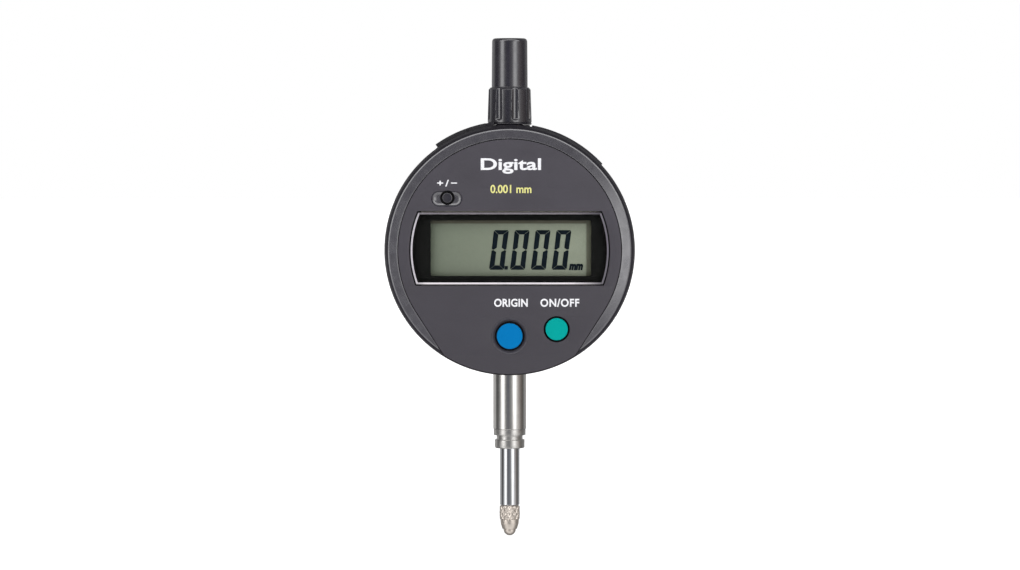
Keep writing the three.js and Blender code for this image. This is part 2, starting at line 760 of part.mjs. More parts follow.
function contactPoint() {
  const { seatZ, coneZ, noseZ, radius, noseRadius, studRadius, studTop } = CONTACT;
  const socketRadius = BALL.radius + FIT_GAP;
  const socketTop = BALL.centreZ + BALL.radius + FIT_GAP;
  return turnedZ([
    [0, socketTop],
    [socketRadius, socketTop],
    [socketRadius, noseZ],
    [noseRadius - 0.04, noseZ],
    [radius, coneZ],
    [radius, seatZ],
    [studRadius, seatZ],
    [studRadius, studTop],
    [0, studTop],
  ]);
}

function contactBall() {
  const ball = new THREE.SphereGeometry(BALL.radius, 16, 10);
  return ball.rotateX(Math.PI / 2).translate(0, 0, BALL.centreZ);
}

function scaleCarrier() {
  const { halfWidth, bottom, top, frontY, backY, screwZ } = CARRIER;
  const { halfWidth: backingHalfWidth, thickness, margin } = SCALE_BACKING;
  const clamp = block([-halfWidth, frontY, bottom], [halfWidth, backY, top]);
  const backing = block(
    [-backingHalfWidth, frontY, SCALE.bottom - margin],
    [backingHalfWidth, frontY + thickness, SCALE.top + margin],
  );
  const springPinHole = [SPRING.y, SPRING.movingZ];
  const screwHoleRadius = CARRIER_SCREW_BODY.shankRadius + FIT_GAP;
  return cut(
    join(clamp, backing),
    rodZ(BUSH_BORE, bottom - 10, top + 10),
    rodX(GUIDE.pinRadius + FIT_GAP, 1, halfWidth + 1, [0, GUIDE.pinZ]),
    rodX(SPRING_PIN_RADIUS + FIT_GAP, -halfWidth - 1, -3, springPinHole, SIDES.screw),
    rodY(screwHoleRadius, 1, backY + 1, [0, screwZ], SIDES.screw),
  );
}

const carrierScrew = () => screw(CARRIER_SCREW_BODY).translate(0, 0, CARRIER.screwZ);

function mainScale() {
  const { halfWidth, bottom, top, thickness } = SCALE;
  const backY = CARRIER.frontY - 0.02;
  return block([-halfWidth, backY - thickness, bottom], [halfWidth, backY, top]);
}

const guidePin = () => rodX(GUIDE.pinRadius, GUIDE.pinLeft, GUIDE.pinRight, [0, GUIDE.pinZ]);
const stopRing = () => plainRing(BUSH_BORE, STOP_RING.radius, STOP_RING.bottom, STOP_RING.top);
const bumper = () => plainRing(BUMPER.boreRadius, BUMPER.radius, BUMPER.bottom, BUMPER.top);

// A slotted rail that keeps the pin, and so the spindle, from turning. Its slot also ends the stroke.
function guideRail() {
  const { left, right, frontY, bottom, top, pegRadius } = RAIL;
  const { pinRadius, pinZ } = GUIDE;
  const bar = block([left, frontY, bottom], [right, HOUSING.floorY, top]);
  const pegs = RAIL_PEGS.map((at) =>
    rodY(pegRadius, HOUSING.floorY - 1, PEG_END_Y, at, SIDES.screw));
  const slotHalf = pinRadius + RUNNING_GAP;
  const slotReach = pinRadius + 2 * RUNNING_GAP;
  const slot = block(
    [left - 1, -slotHalf, pinZ - slotReach],
    [right + 1, slotHalf, pinZ + STROKE + slotReach],
  );
  return cut(join(bar, ...pegs), slot);
}

function springPinFixed() {
  const { x, fixedZ } = SPRING;
  return rodY(SPRING_PIN_RADIUS, -0.5, PEG_END_Y, [x, fixedZ], SIDES.screw);
}

function springPinMoving() {
  const { x, y, coilRadius, movingZ } = SPRING;
  return rodX(SPRING_PIN_RADIUS, x - coilRadius, -3.2, [y, movingZ], SIDES.screw);
}

// The coil spring that pulls the spindle down. A hook at each end goes round a pin.
function returnSpring() {
  const { x, y, fixedZ, movingZ, coilRadius, hookRadius, wireRadius, turns } = SPRING;
  const pointsPerTurn = 8;
  const quarter = Math.PI / 2;
  const hookAngles = [-4, -3, -2, -1, 0].map((step) => quarter + step * 0.75 * quarter);
  const lowerHook = hookAngles.map((angle) =>
    new THREE.Vector3(x + hookRadius * Math.cos(angle), y, fixedZ + hookRadius * Math.sin(angle)));
  const upperHook = hookAngles.toReversed().map((angle) =>
    new THREE.Vector3(x, y + hookRadius * Math.cos(angle), movingZ - hookRadius * Math.sin(angle)));
  const low = fixedZ + hookRadius + 0.6;
  const high = movingZ - hookRadius - 0.6;
  const coil = Array.from({ length: turns * pointsPerTurn + 1 }, (_, i) => {
    const angle = (2 * Math.PI * i) / pointsPerTurn;
    const height = low + ((high - low) * i) / (turns * pointsPerTurn);
    const across = coilRadius * Math.cos(angle);
    return new THREE.Vector3(x + across, y + coilRadius * Math.sin(angle), height);
  });
  const path = new THREE.CatmullRomCurve3([...lowerHook, ...coil, ...upperHook]);
  const wire = new THREE.Shape().absarc(0, 0, wireRadius, 0, 2 * Math.PI, false);
  const settings = { steps: turns * pointsPerTurn + 16, curveSegments: 3, extrudePath: path };
  return new THREE.ExtrudeGeometry(wire, settings);
}

// ---- battery bay and data connector, each drawn upright and then turned about Y to its place ----

// A cover that follows the round wall and stands a little proud of it.
function bayDoor({ halfSpan, proudRadius }) {
  return plate(sectorOutline(DOOR.innerRadius, proudRadius, halfSpan), DOOR.frontY, DOOR.backY);
}

// The drawer: a door with a ring behind it that carries the cell, slotted for the positive leaf.
function batteryTray() {
  const { wall, frontY, endHalfWidth, cornerZ, endZ } = TRAY;
  const wallRadius = BATTERY.radius + wall;
  const outline = new THREE.Shape();
  outline.absarc(0, BATTERY.z, wallRadius, Math.PI, 2 * Math.PI, false);
  outline.lineTo(wallRadius, cornerZ);
  outline.lineTo(endHalfWidth, endZ);
  outline.lineTo(-endHalfWidth, endZ);
  outline.lineTo(-wallRadius, cornerZ);
  const pocketRadius = BATTERY.radius + 2 * RUNNING_GAP;
  const pocketBackY = BATTERY.frontY + BATTERY.height;
  const pocket = rodY(pocketRadius, frontY - 1, pocketBackY, [0, BATTERY.z], SIDES.fitted);
  const slotSide = 2 * LOOSE_GAP;
  const contactSlot = block(
    [POSITIVE_LEAF.left - slotSide, frontY - 1, POSITIVE_LEAF.z - 0.4],
    [POSITIVE_LEAF.right + slotSide, POSITIVE_LEAF.backY + 1, POSITIVE_LEAF.z + 2.6],
  );
  return cut(join(bayDoor(BATTERY_BAY), plate(outline, frontY, DOOR.backY)), pocket, contactSlot);
}

function battery() {
  const { radius, height, z, frontY } = BATTERY;
  const backY = frontY + height - 0.02;
  return turnedY([
    [0, frontY],
    [radius - 1, frontY],
    [radius - 0.8, frontY + 0.4],
    [radius, frontY + 0.7],
    [radius, backY - 0.2],
    [radius - 0.2, backY],
    [0, backY],
  ]).translate(0, 0, z);
}

const CONTACT_FOOT_Y = MAIN_BOARD.backY + LOOSE_GAP;

// A leaf that stands behind the tray's end and touches the battery's side through a slot.
function positiveContact() {
  const { left, right, z, backY } = POSITIVE_LEAF;
  return block([left, CONTACT_FOOT_Y, z], [right, backY, z + LEAF_THICKNESS]);
}

// A leaf that bends over the battery's flat front.
function negativeContact() {
  const { left, right, z, top, frontY } = NEGATIVE_LEAF;
  const backY = frontY + LEAF_THICKNESS;
  const upright = block([left, CONTACT_FOOT_Y, z], [right, backY, z + LEAF_THICKNESS]);
  const leaf = block([left, frontY, z], [right, backY, top]);
  return join(upright, leaf);
}

// Drawn with +z outwards: a shell open to the outside, with a tongue in the middle of the opening.
function dataConnector() {
  const solid = ({ halfWidth, frontY, backY }, bottom, top) =>
    block([-halfWidth, frontY, bottom], [halfWidth, backY, top]);
  const shell = solid(DATA_SHELL, DATA_SHELL.bottom, DATA_SHELL.top);
  const socket = solid(DATA_SOCKET, DATA_SOCKET.bottom, DATA_SHELL.top + 1);
  const tongue = solid(DATA_TONGUE, DATA_SOCKET.bottom - 0.5, DATA_TONGUE.top);
  return join(cut(shell, socket), tongue);
}

// From the connector's back down, forward to the main board, and down again along it.
function flexCable() {
  const { halfWidth, thickness, top, bendZ, footBottom } = FLEX;
  const footBackY = CONTACT_FOOT_Y + thickness;
  const down = block([-halfWidth, 0, bendZ], [halfWidth, thickness, top]);
  const forward = block([-halfWidth, CONTACT_FOOT_Y, bendZ], [halfWidth, thickness, bendZ + thickness]);
  const foot = block([-halfWidth, CONTACT_FOOT_Y, footBottom], [halfWidth, footBackY, bendZ + 0.2]);
  return join(down, forward, foot);
}

// ---- assembly ----

function numbered(name, material, makeGeometry, places) {
  return places.map(([x, z], i) => {
    const mesh = piece(`${name}_${i + 1}`, material, makeGeometry());
    mesh.position.set(x, 0, z);
    return mesh;
  });
}

function caseGroup() {
  const m = MATERIALS;
  return new THREE.Group().add(
    piece("front_cover", m.charcoalPlastic, frontCover()),
    piece("display_lens", m.clearLens, displayLens()),
    piece("rear_housing", m.charcoalPlastic, rearHousing()),
    piece("back_plate", m.charcoalPlastic, backPlate()),
    piece("stem", m.steel, stem()),
    piece("lower_bush", m.steel, lowerBush()),
    piece("upper_stem_bush", m.brass, upperStemBush()),
    piece("top_bush", m.brass, topBush()),
    piece("bumper", m.blackRubber, bumper()),
    ...numbered("case_screw", m.steel, caseScrew, corners(CASE_SCREW)),
    ...numbered("back_screw", m.steel, backScrew, corners(BACK_SCREW)),
  );
}

function electronicsGroup() {
  const m = MATERIALS;
  const switches = Object.keys(BUTTONS).map((key) =>
    piece(`${key}_switch`, m.blackPlastic, switchBody(BUTTONS[key], SWITCHES[key])));
  return new THREE.Group().add(
    piece("lcd_panel", m.displayGlass, lcdPanel()),
    piece("lcd_holder", m.ivoryPlastic, lcdHolder()),
    piece("zebra_strip_lower", m.blackRubber, zebraStrip(ZEBRA.lowerZ)),
    piece("zebra_strip_upper", m.blackRubber, zebraStrip(ZEBRA.upperZ)),
    piece("main_board", m.greenBoard, mainBoard()),
    piece("detector_board", m.greenBoard, detectorBoard()),
    piece("board_connector", m.ivoryPlastic, boardConnector()),
    ...switches,
    ...numbered("board_screw", m.steel, boardScrew, BOARD_POSTS),
    ...numbered("detector_screw", m.steel, detectorScrew, DETECTOR_POSTS),
    piece("guide_rail", m.steel, guideRail()),
    piece("spring_pin_fixed", m.steel, springPinFixed()),
  );
}

function buttonGroup(key, material) {
  return new THREE.Group().add(
    piece(`${key}_button`, material, buttonCap(BUTTONS[key], SWITCHES[key])),
    piece(`${key}_plunger`, MATERIALS.ivoryPlastic, switchPlunger(BUTTONS[key], SWITCHES[key])),
  );
}

function spindleGroup() {
  const m = MATERIALS;
  return new THREE.Group().add(
    piece("spindle", m.steel, spindle()),
    piece("contact_point", m.warmSteel, contactPoint()),
    piece("contact_ball", m.carbide, contactBall()),
    piece("scale_carrier", m.aluminium, scaleCarrier()),
    piece("carrier_screw", m.steel, carrierScrew()),
    piece("main_scale", m.displayGlass, mainScale()),
    piece("guide_pin", m.steel, guidePin()),
    piece("stop_ring", m.brass, stopRing()),
    piece("spring_pin_moving", m.steel, springPinMoving()),
    piece("return_spring", m.steel, returnSpring()),
  );
}

function batteryBayGroup() {
  const m = MATERIALS;
  const group = new THREE.Group().add(
    piece("battery_tray", m.blackPlastic, batteryTray()),
    piece("battery", m.steel, battery()),
    piece("battery_contact_positive", m.brass, positiveContact()),
    piece("battery_contact_negative", m.brass, negativeContact()),
  );
  group.rotation.y = BATTERY_BAY.angle;
  return group;
}

function connectorBayGroup() {
  const m = MATERIALS;
  const group = new THREE.Group().add(
    piece("data_connector", m.blackPlastic, dataConnector()),
    piece("flex_cable", m.brass, flexCable()),
    piece("connector_cover", m.blackRubber, bayDoor(CONNECTOR_BAY)),
  );
  group.rotation.y = CONNECTOR_BAY.angle;
  return group;
}

const indicator = new THREE.Group().add(
  caseGroup(),
  electronicsGroup(),
  buttonGroup("origin", MATERIALS.blueRubber),
  buttonGroup("power", MATERIALS.greenRubber),
  buttonGroup("sign", MATERIALS.blackPlastic),
  piece("spindle_cap", MATERIALS.blackPlastic, spindleCap()),
  spindleGroup(),
  batteryBayGroup(),
  connectorBayGroup(),
);

const lugEndY = LUG.holeY + LUG.endRadius;
indicator.position.set(0, -(COVER.plateauY + lugEndY) / 2, BALL.radius - BALL.centreZ);

export default indicator;
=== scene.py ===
import math

import bmesh
import bpy
from mathutils import Matrix, Vector


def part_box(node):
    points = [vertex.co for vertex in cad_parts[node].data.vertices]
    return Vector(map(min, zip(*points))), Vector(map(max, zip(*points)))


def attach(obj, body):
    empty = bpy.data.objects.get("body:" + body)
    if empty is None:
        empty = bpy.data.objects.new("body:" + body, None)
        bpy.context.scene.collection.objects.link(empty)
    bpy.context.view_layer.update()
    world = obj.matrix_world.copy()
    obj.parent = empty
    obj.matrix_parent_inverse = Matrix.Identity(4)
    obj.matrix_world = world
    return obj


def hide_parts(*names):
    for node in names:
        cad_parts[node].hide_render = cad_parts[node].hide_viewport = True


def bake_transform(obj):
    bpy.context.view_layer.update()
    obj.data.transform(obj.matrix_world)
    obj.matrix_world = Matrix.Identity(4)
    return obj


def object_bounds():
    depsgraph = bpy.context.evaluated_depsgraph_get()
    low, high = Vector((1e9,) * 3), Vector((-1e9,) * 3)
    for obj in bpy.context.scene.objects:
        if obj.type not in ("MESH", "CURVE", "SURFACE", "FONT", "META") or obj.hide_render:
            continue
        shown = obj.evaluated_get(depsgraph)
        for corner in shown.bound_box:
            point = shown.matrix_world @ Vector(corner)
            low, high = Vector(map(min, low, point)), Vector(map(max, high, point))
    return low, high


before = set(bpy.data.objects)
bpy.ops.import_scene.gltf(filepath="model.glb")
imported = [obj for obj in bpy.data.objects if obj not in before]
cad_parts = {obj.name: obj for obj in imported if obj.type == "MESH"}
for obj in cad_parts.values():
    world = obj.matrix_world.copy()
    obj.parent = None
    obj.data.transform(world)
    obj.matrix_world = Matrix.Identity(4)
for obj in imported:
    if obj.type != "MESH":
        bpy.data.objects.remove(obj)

CAD_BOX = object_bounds()
MM = 0.001


def body_centre():
    spindle_low, spindle_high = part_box("spindle")
    cover_low, cover_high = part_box("front_cover")
    middle = (spindle_low + spindle_high) / 2
    return Vector((middle.x, middle.y, (cover_low.z + cover_high.z) / 2))


CENTRE = body_centre()
TO_WORLD = Matrix.Translation(CENTRE) @ Matrix.Scale(MM, 4)


class NodeBox:
    """Where a CAD node is, in millimetres from the centre of the round body."""

    def __init__(self, node):
        low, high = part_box(node)
        self.low = (low - CENTRE) / MM
        self.high = (high - CENTRE) / MM
        self.centre = (self.low + self.high) / 2
        self.size = self.high - self.low


COVER = NodeBox("front_cover")
HOUSING = NodeBox("rear_housing")
BACK = NodeBox("back_plate")
LENS = NodeBox("display_lens")
LCD = NodeBox("lcd_panel")
STEM = NodeBox("stem")
BUSH = NodeBox("lower_bush")
TOP_BUSH = NodeBox("top_bush")
CAP = NodeBox("spindle_cap")
SPINDLE = NodeBox("spindle")
TIP = NodeBox("contact_point")
BALL = NodeBox("contact_ball")
ORIGIN = NodeBox("origin_button")
POWER = NodeBox("power_button")
SIGN = NodeBox("sign_button")
SCREW = NodeBox("back_screw_1")

# ---- driving sizes, in millimetres ----

FACE_Y = COVER.low.y
EDGE_RADIUS = COVER.size.x / 2 + 0.12
CREASE_RADIUS = EDGE_RADIUS - 1.12
CREASE_Y = FACE_Y + 0.85
PLATE_RADIUS = EDGE_RADIUS - 3.46
PLATE_REACH = EDGE_RADIUS - 0.6
RIM_Y = FACE_Y + 0.3
TANGENT = math.radians(32.5)  # below this the face plate's edge runs straight out to its full reach
GROOVE = 0.14
INNER_FACE_Y = FACE_Y + 2

WINDOW_TOP = 9.5
WINDOW_BOTTOM = -8.3
WINDOW_SIDE_RADIUS = 24
WINDOW_GAP = 0.33
PANE_BEVEL = 0.42
PANE_BEVEL_DEPTH = 0.16

BUTTONS = {
    "origin": {"box": ORIGIN, "radius": 3.13, "rounding": 0.22, "gap": 0.4},
    "power": {"box": POWER, "radius": 2.72, "rounding": 0.22, "gap": 0.4},
    "sign": {"box": SIGN, "radius": 1.25, "rounding": 0.2, "gap": 0.49},
}
DISH_RADIUS = 4.34
RECESS_CENTRE = Vector((-15.03, 12.48))
RECESS_LENGTH = 7.45
RECESS_HEIGHT = 3.7
RECESS_DEPTH = 0.92
RECESS_STEPS = 120

SCREEN = {"left": -18.9, "right": 19.5, "bottom": -6.05, "top": 7.24}
MASK_Y = FACE_Y + 1.6
DIGIT_WIDTH = 3.6
DIGIT_HEIGHT = 9.5
DIGIT_PITCH = 5.0
DIGIT_STROKE = 1.04
DIGIT_UPRIGHT = 1.2
DIGIT_SLANT = math.tan(math.radians(7))
DIGITS_LEFT = -4.95
DIGITS_BOTTOM = -4.6
DIGIT_COUNT = 4

BAY_DOORS = {"battery_tray": (28.75, 18.5), "connector_cover": (-22.95, 12.2)}  # angle, half span
CAP_WAIST = CAP.low.z + 9.08
CELL_Z = 20.6  # the button cell's centre when its drawer points straight up
BACK_FACE_Y = SCREW.high.y + 0.05
LUG_HOLE_Y = 16.6
LUG_HOLE_RADIUS = 3.25

CORNER_STEPS = 5  # straight pieces that a rounded corner is made of
SHARP = 32  # degrees; flatter edges than this are shaded smooth
WEAR = 0.06  # how much darker worn metal is
SOFT_BOX = 1.3  # brightness of the two soft boxes beside the camera
DARK_FRONT = (0.06, 0.065, 0.085, 1)  # the dark gap between them
RING = 1.3  # brightness of the ring of light above the camera

# ---- meshes ----


def fillet(points, closed=True):
    """A polyline whose points are (a, b) or (a, b, radius), with its corners rounded."""
    outline = []
    for i, point in enumerate(points):
        here = Vector(point[:2])
        at_end = not closed and i in (0, len(points) - 1)
        if len(point) < 3 or at_end:
            outline.append(here)
            continue
        before = (Vector(points[i - 1][:2]) - here).normalized()
        after = (Vector(points[(i + 1) % len(points)][:2]) - here).normalized()
        half = before.angle(after) / 2
        reach = point[2] / math.tan(half)
        centre = here + (before + after).normalized() * point[2] / math.sin(half)
        first = here + before * reach - centre
        last = here + after * reach - centre
        sweep = first.angle_signed(last)
        for step in range(CORNER_STEPS + 1):
            turn = Matrix.Rotation(-sweep * step / CORNER_STEPS, 2)
            outline.append(centre + turn @ first)
    return outline


def skin(rings, loop=False):
    """Quads between rings of points. A ring of one point is an apex, and open ends are closed."""
    bm = bmesh.new()
    rows = [[bm.verts.new(point) for point in ring] for ring in rings]
    pairs = list(zip(rows, rows[1:]))
    if loop:
        pairs.append((rows[-1], rows[0]))
    for low, high in pairs:
        count = max(len(low), len(high))
        for i in range(count if count > 1 else 0):
            j = (i + 1) % count
            corners = [low[i % len(low)], low[j % len(low)], high[j % len(high)], high[i % len(high)]]
            bm.faces.new(dict.fromkeys(corners))
    if not loop:
        for end in (rows[0], rows[-1]):
            if len(end) > 2:
                bm.faces.new(end)
    return to_mesh(bm)


def to_mesh(bm):
    bmesh.ops.recalc_face_normals(bm, faces=bm.faces)
    mesh = bpy.data.meshes.new("shape")
    bm.to_mesh(mesh)
    bm.free()
    return mesh


def full_turn(steps):
    return [2 * math.pi * i / steps for i in range(steps)]


def polar(radius, angle):
    return radius * math.cos(angle), radius * math.sin(angle)


def level_ring(radius, z, steps):
    """Points of a horizontal circle about the spindle's axis."""
    return [Vector((*polar(radius, angle), z)) for angle in full_turn(steps)]


def lathe(profile, axis="Z", steps=128, place=(0, 0, 0)):
    """A solid turned about Z or Y. The profile lists (radius, height), or (radius, height, fillet)."""
    on_axis = profile[0][0] == 0 and profile[-1][0] == 0
    rings = []
    for radius, height in fillet(profile, closed=not on_axis):
        flat = [polar(radius, angle) for angle in full_turn(steps)]
        if radius < 1e-6:
            flat = flat[:1]
        if axis == "Z":
            rings.append([Vector((u, v, height)) + Vector(place) for u, v in flat])
        else:
            rings.append([Vector((u, height, v)) + Vector(place) for u, v in flat])
    return skin(rings, loop=not on_axis)


def evaluated(obj):
    """The mesh of an object with its modifiers or its curve worked out. The object is removed."""
    bpy.context.view_layer.update()
    graph = bpy.context.evaluated_depsgraph_get()
    mesh = bpy.data.meshes.new_from_object(obj.evaluated_get(graph))
    bpy.data.objects.remove(obj)
    return mesh


def linked(name, data):
    obj = bpy.data.objects.new(name, data)
    bpy.context.scene.collection.objects.link(obj)
    return obj


def merged(mesh):
    """The mesh with the points that lie on each other made one."""
    bm = bmesh.new()
    bm.from_mesh(mesh)
    bmesh.ops.remove_doubles(bm, verts=bm.verts, dist=1e-4)
    return to_mesh(bm)


def flat_solid(outlines, y_front, y_back, bevel=0.0):
    """A plate between two depths. Outlines are lists of (x, z); one inside another is a hole."""
    curve = bpy.data.curves.new("outline", "CURVE")
    curve.dimensions = "2D"
    curve.fill_mode = "BOTH"
    curve.extrude = (y_back - y_front) / 2 - bevel
    curve.bevel_depth = bevel
    curve.bevel_resolution = 2
    curve.offset = -bevel
    for outline in outlines:
        spline = curve.splines.new("POLY")
        spline.points.add(len(outline) - 1)
        for point, (x, z) in zip(spline.points, outline):
            point.co = (x, z, 0, 1)
        spline.use_cyclic_u = True
    mesh = merged(evaluated(linked("outline", curve)))
    stand = Matrix.Translation((0, (y_front + y_back) / 2, 0)) @ Matrix.Rotation(math.pi / 2, 4, "X")
    mesh.transform(stand)
    return mesh


def rounded(mesh, width):
    """The mesh with its sharp edges rounded off."""
    flat, sharp = math.radians(1), math.radians(40)
    bm = bmesh.new()
    bm.from_mesh(mesh)
    bmesh.ops.dissolve_limit(bm, angle_limit=flat, verts=bm.verts, edges=bm.edges)
    edges = [edge for edge in bm.edges if edge.is_manifold and edge.calc_face_angle(0) > sharp]
    bmesh.ops.bevel(bm, geom=edges, offset=width, segments=3, profile=0.5, affect="EDGES",
                    clamp_overlap=True)
    return to_mesh(bm)


def block(low, high, rounding=0.0):
    size = Vector(high) - Vector(low)
    middle = (Vector(high) + Vector(low)) / 2
    bm = bmesh.new()
    bmesh.ops.create_cube(bm, size=1, matrix=Matrix.Translation(middle) @ Matrix.Diagonal((*size, 1)))
    mesh = to_mesh(bm)
    return rounded(mesh, rounding) if rounding else mesh


def cut(mesh, *tools):
    body = linked("body", mesh)
    cutters = [linked("cutter", tool) for tool in tools]
    for cutter in cutters:
        modifier = body.modifiers.new("cut", "BOOLEAN")
        modifier.object = cutter
        modifier.operation = "DIFFERENCE"
        modifier.solver = "EXACT"
    result = evaluated(body)
    for cutter in cutters:
        bpy.data.objects.remove(cutter)
    return result


def joined(*meshes):
    """Several solids as one mesh, each still closed in itself."""
    bm = bmesh.new()
    for mesh in meshes:
        bm.from_mesh(mesh)
    mesh = bpy.data.meshes.new("shape")
    bm.to_mesh(mesh)
    bm.free()
    return mesh


def turned_about_y(mesh, degrees):
    """The mesh turned clockwise as seen from the front."""
    mesh.transform(Matrix.Rotation(math.radians(degrees), 4, "Y"))
    return mesh


def moved(mesh, x=0.0, y=0.0, z=0.0):
    mesh.transform(Matrix.Translation((x, y, z)))
    return mesh


def circle(radius, centre=(0, 0), steps=96):
    offsets = [polar(radius, angle) for angle in full_turn(steps)]
    return [(centre[0] + x, centre[1] + z) for x, z in offsets]


def piece(name, mesh, looks, body, slot, replaces="", sharp=SHARP):
    """A finished object that rides on a body. Its mesh is in millimetres until here."""
    mesh.transform(TO_WORLD)
    mesh.name = name
    for look in looks.split():
        mesh.materials.append(MATERIALS[look])
    mesh.shade_smooth()
    mesh.set_sharp_from_angle(angle=math.radians(sharp))
    obj = linked(name, mesh)
    if body:
        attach(obj, body)
    if replaces:
        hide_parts(replaces)
    return obj


# ---- materials ----

MATERIALS = {}  # by name; a Finish adds itself


def linear(red, green, blue):
    """A colour given as 0 to 255 screen values, as Blender's linear colour."""
    def one(value):
        share = value / 255
        return share / 12.92 if share <= 0.04045 else ((share + 0.055) / 1.055) ** 2.4
    return (one(red), one(green), one(blue), 1)


class Graph:
    """A node tree while it is built."""

    def __init__(self, tree):
        self.tree = tree

    def feed(self, socket, value):
        """Gives an input a value, or links it to another node's output."""
        if isinstance(value, bpy.types.NodeSocket):
            self.tree.links.new(value, socket)
        else:
            socket.default_value = value

    def add(self, kind, inputs=None, **settings):
        node = self.tree.nodes.new(kind)
        for key, value in settings.items():
            setattr(node, key, value)
        for key, value in (inputs or {}).items():
            self.feed(node.inputs[key], value)
        return node

    def ranged(self, value, from_low, from_high, low=0, high=1):
        inputs = {"From Min": from_low, "From Max": from_high, "To Min": low, "To Max": high}
        return self.add("ShaderNodeMapRange", {"Value": value, **inputs}).outputs["Result"]

    def blend(self, share, first, second):
        inputs = {"Factor": share, "A": first, "B": second}
        return self.add("ShaderNodeMix", inputs, data_type="RGBA").outputs["Result"]


class Finish(Graph):
    """A Principled material whose colour, roughness and relief come from procedural textures."""

    def __init__(self, name, colour, roughness, **inputs):
        material = bpy.data.materials.new(name)
        material.use_nodes = True
        material.diffuse_color = colour
        MATERIALS[name] = material
        super().__init__(material.node_tree)
        self.shader = self.tree.nodes["Principled BSDF"]
        self.colour = colour
        self.set("Base Color", colour)
        self.set("Roughness", roughness)
        for key, value in inputs.items():
            self.set(key.replace("_", " ").title().replace("Ior", "IOR"), value)

    def set(self, key, value):
        self.feed(self.shader.inputs[key], value)

    def place(self, stretch=(1, 1, 1)):
        """Texture coordinates in millimetres, fixed to the piece."""
        here = self.add("ShaderNodeTexCoord").outputs["Object"]
        scale = [axis / MM for axis in stretch]
        return self.add("ShaderNodeMapping", {"Vector": here, "Scale": scale}).outputs["Vector"]

    def noise(self, per_mm, detail=3.0, stretch=(1, 1, 1)):
        inputs = {"Vector": self.place(stretch), "Scale": per_mm, "Detail": detail}
        return self.add("ShaderNodeTexNoise", inputs).outputs["Fac"]

    def along(self, axis, start, end):
        """0 to 1 between two places on an axis, in millimetres from the body's centre."""
        here = self.add("ShaderNodeTexCoord").outputs["Object"]
        split = self.add("ShaderNodeSeparateXYZ", {"Vector": here})
        origin = CENTRE["XYZ".index(axis)]
        return self.ranged(split.outputs[axis], origin + start * MM, origin + end * MM)

    def textured(self, value, low, high):
        """A range that a noise or another texture runs through."""
        return self.ranged(value, 0.3, 0.7, low, high)

    def fade(self, share, other):
        """The colour so far gives way to another one."""
        self.colour = self.blend(share, self.colour, other)
        self.set("Base Color", self.colour)

    def mottle(self, value, other, low=0.0, high=1.0):
        """The colour drifts towards another one with a texture's value."""
        self.fade(self.textured(value, low, high), other)

    def roughen(self, value, low, high):
        self.set("Roughness", self.textured(value, low, high))

    def relief(self, value, depth):
        """Relief of the given depth in millimetres."""
        bump = self.add("ShaderNodeBump", {"Strength": 1, "Distance": depth * MM, "Height": value})
        self.set("Normal", bump.outputs["Normal"])


def shade(colour, times):
    """A colour made darker or lighter."""
    return [min(1, channel * times) for channel in colour[:3]] + [1]


def moulded(name, colour, roughness, grain=5.0, depth=0.004, spread=0.12, **inputs):
    """Moulded plastic or rubber: a fine grain, a slow drift of tone and small changes in gloss."""
    finish = Finish(name, colour, roughness, **inputs)
    grain_texture = finish.noise(grain, detail=4)
    finish.mottle(finish.noise(0.12, detail=2), shade(colour, 1 - spread), 0, 0.7)
    finish.mottle(grain_texture, shade(colour, 1 + spread), 0, 0.6)
    finish.roughen(finish.noise(0.5, detail=4), roughness - 0.05, roughness + 0.07)
    finish.relief(grain_texture, depth)


def face_plastic(name):
    """The plate's satin plastic, with painted light that makes it a little lighter towards the top."""
    colour = linear(55, 52, 59)
    finish = Finish(name, colour, 0.5)
    grain = finish.noise(5, detail=4)
    # Painted light: the plate grows lighter towards the top, as if more light fell there.
    finish.fade(finish.along("Z", -26, 30), linear(66, 63, 71))
    finish.mottle(finish.noise(0.12, detail=2), linear(54, 51, 57), 0, 0.5)
    finish.mottle(grain, linear(71, 68, 76), 0, 0.35)
    finish.roughen(finish.noise(0.5, detail=4), 0.45, 0.57)
    finish.relief(grain, 0.005)


def turned_metal(name, colour, roughness, depth=0.0006, lines=14.0, axis="Z"):
    """Metal turned on a lathe: fine rings round the axis, and faint wear along them."""
    finish = Finish(name, colour, roughness, metallic=1.0)
    stretch = {"X": (1, 0.02, 0.02), "Y": (0.02, 1, 0.02), "Z": (0.02, 0.02, 1)}[axis]
    rings = finish.noise(lines, detail=3, stretch=stretch)
    finish.mottle(finish.noise(0.35, detail=5), shade(colour, 1 - WEAR))
    finish.roughen(rings, roughness * 0.75, roughness * 1.3)
    finish.relief(rings, depth)


def printed(name, colour, gloss=0.5):
    """Screen-printed ink: a thin film with a slightly uneven edge tone."""
    finish = Finish(name, colour, 0.5, specular_ior_level=gloss)
    finish.mottle(finish.noise(3, detail=5), shade(colour, 0.86))
    finish.relief(finish.noise(9, detail=3), 0.003)


def clear_pane(name):
    """Clear coated plastic: what is behind it shows through a very slight, uneven tint."""
    finish = Finish(name, (0.975, 0.985, 0.975, 1), 0.05)
    finish.mottle(finish.noise(0.8, detail=3), (0.96, 0.97, 0.96, 1))
    clear = finish.add("ShaderNodeBsdfTransparent", {"Color": finish.colour})
    finish.feed(finish.tree.nodes["Material Output"].inputs["Surface"], clear.outputs["BSDF"])


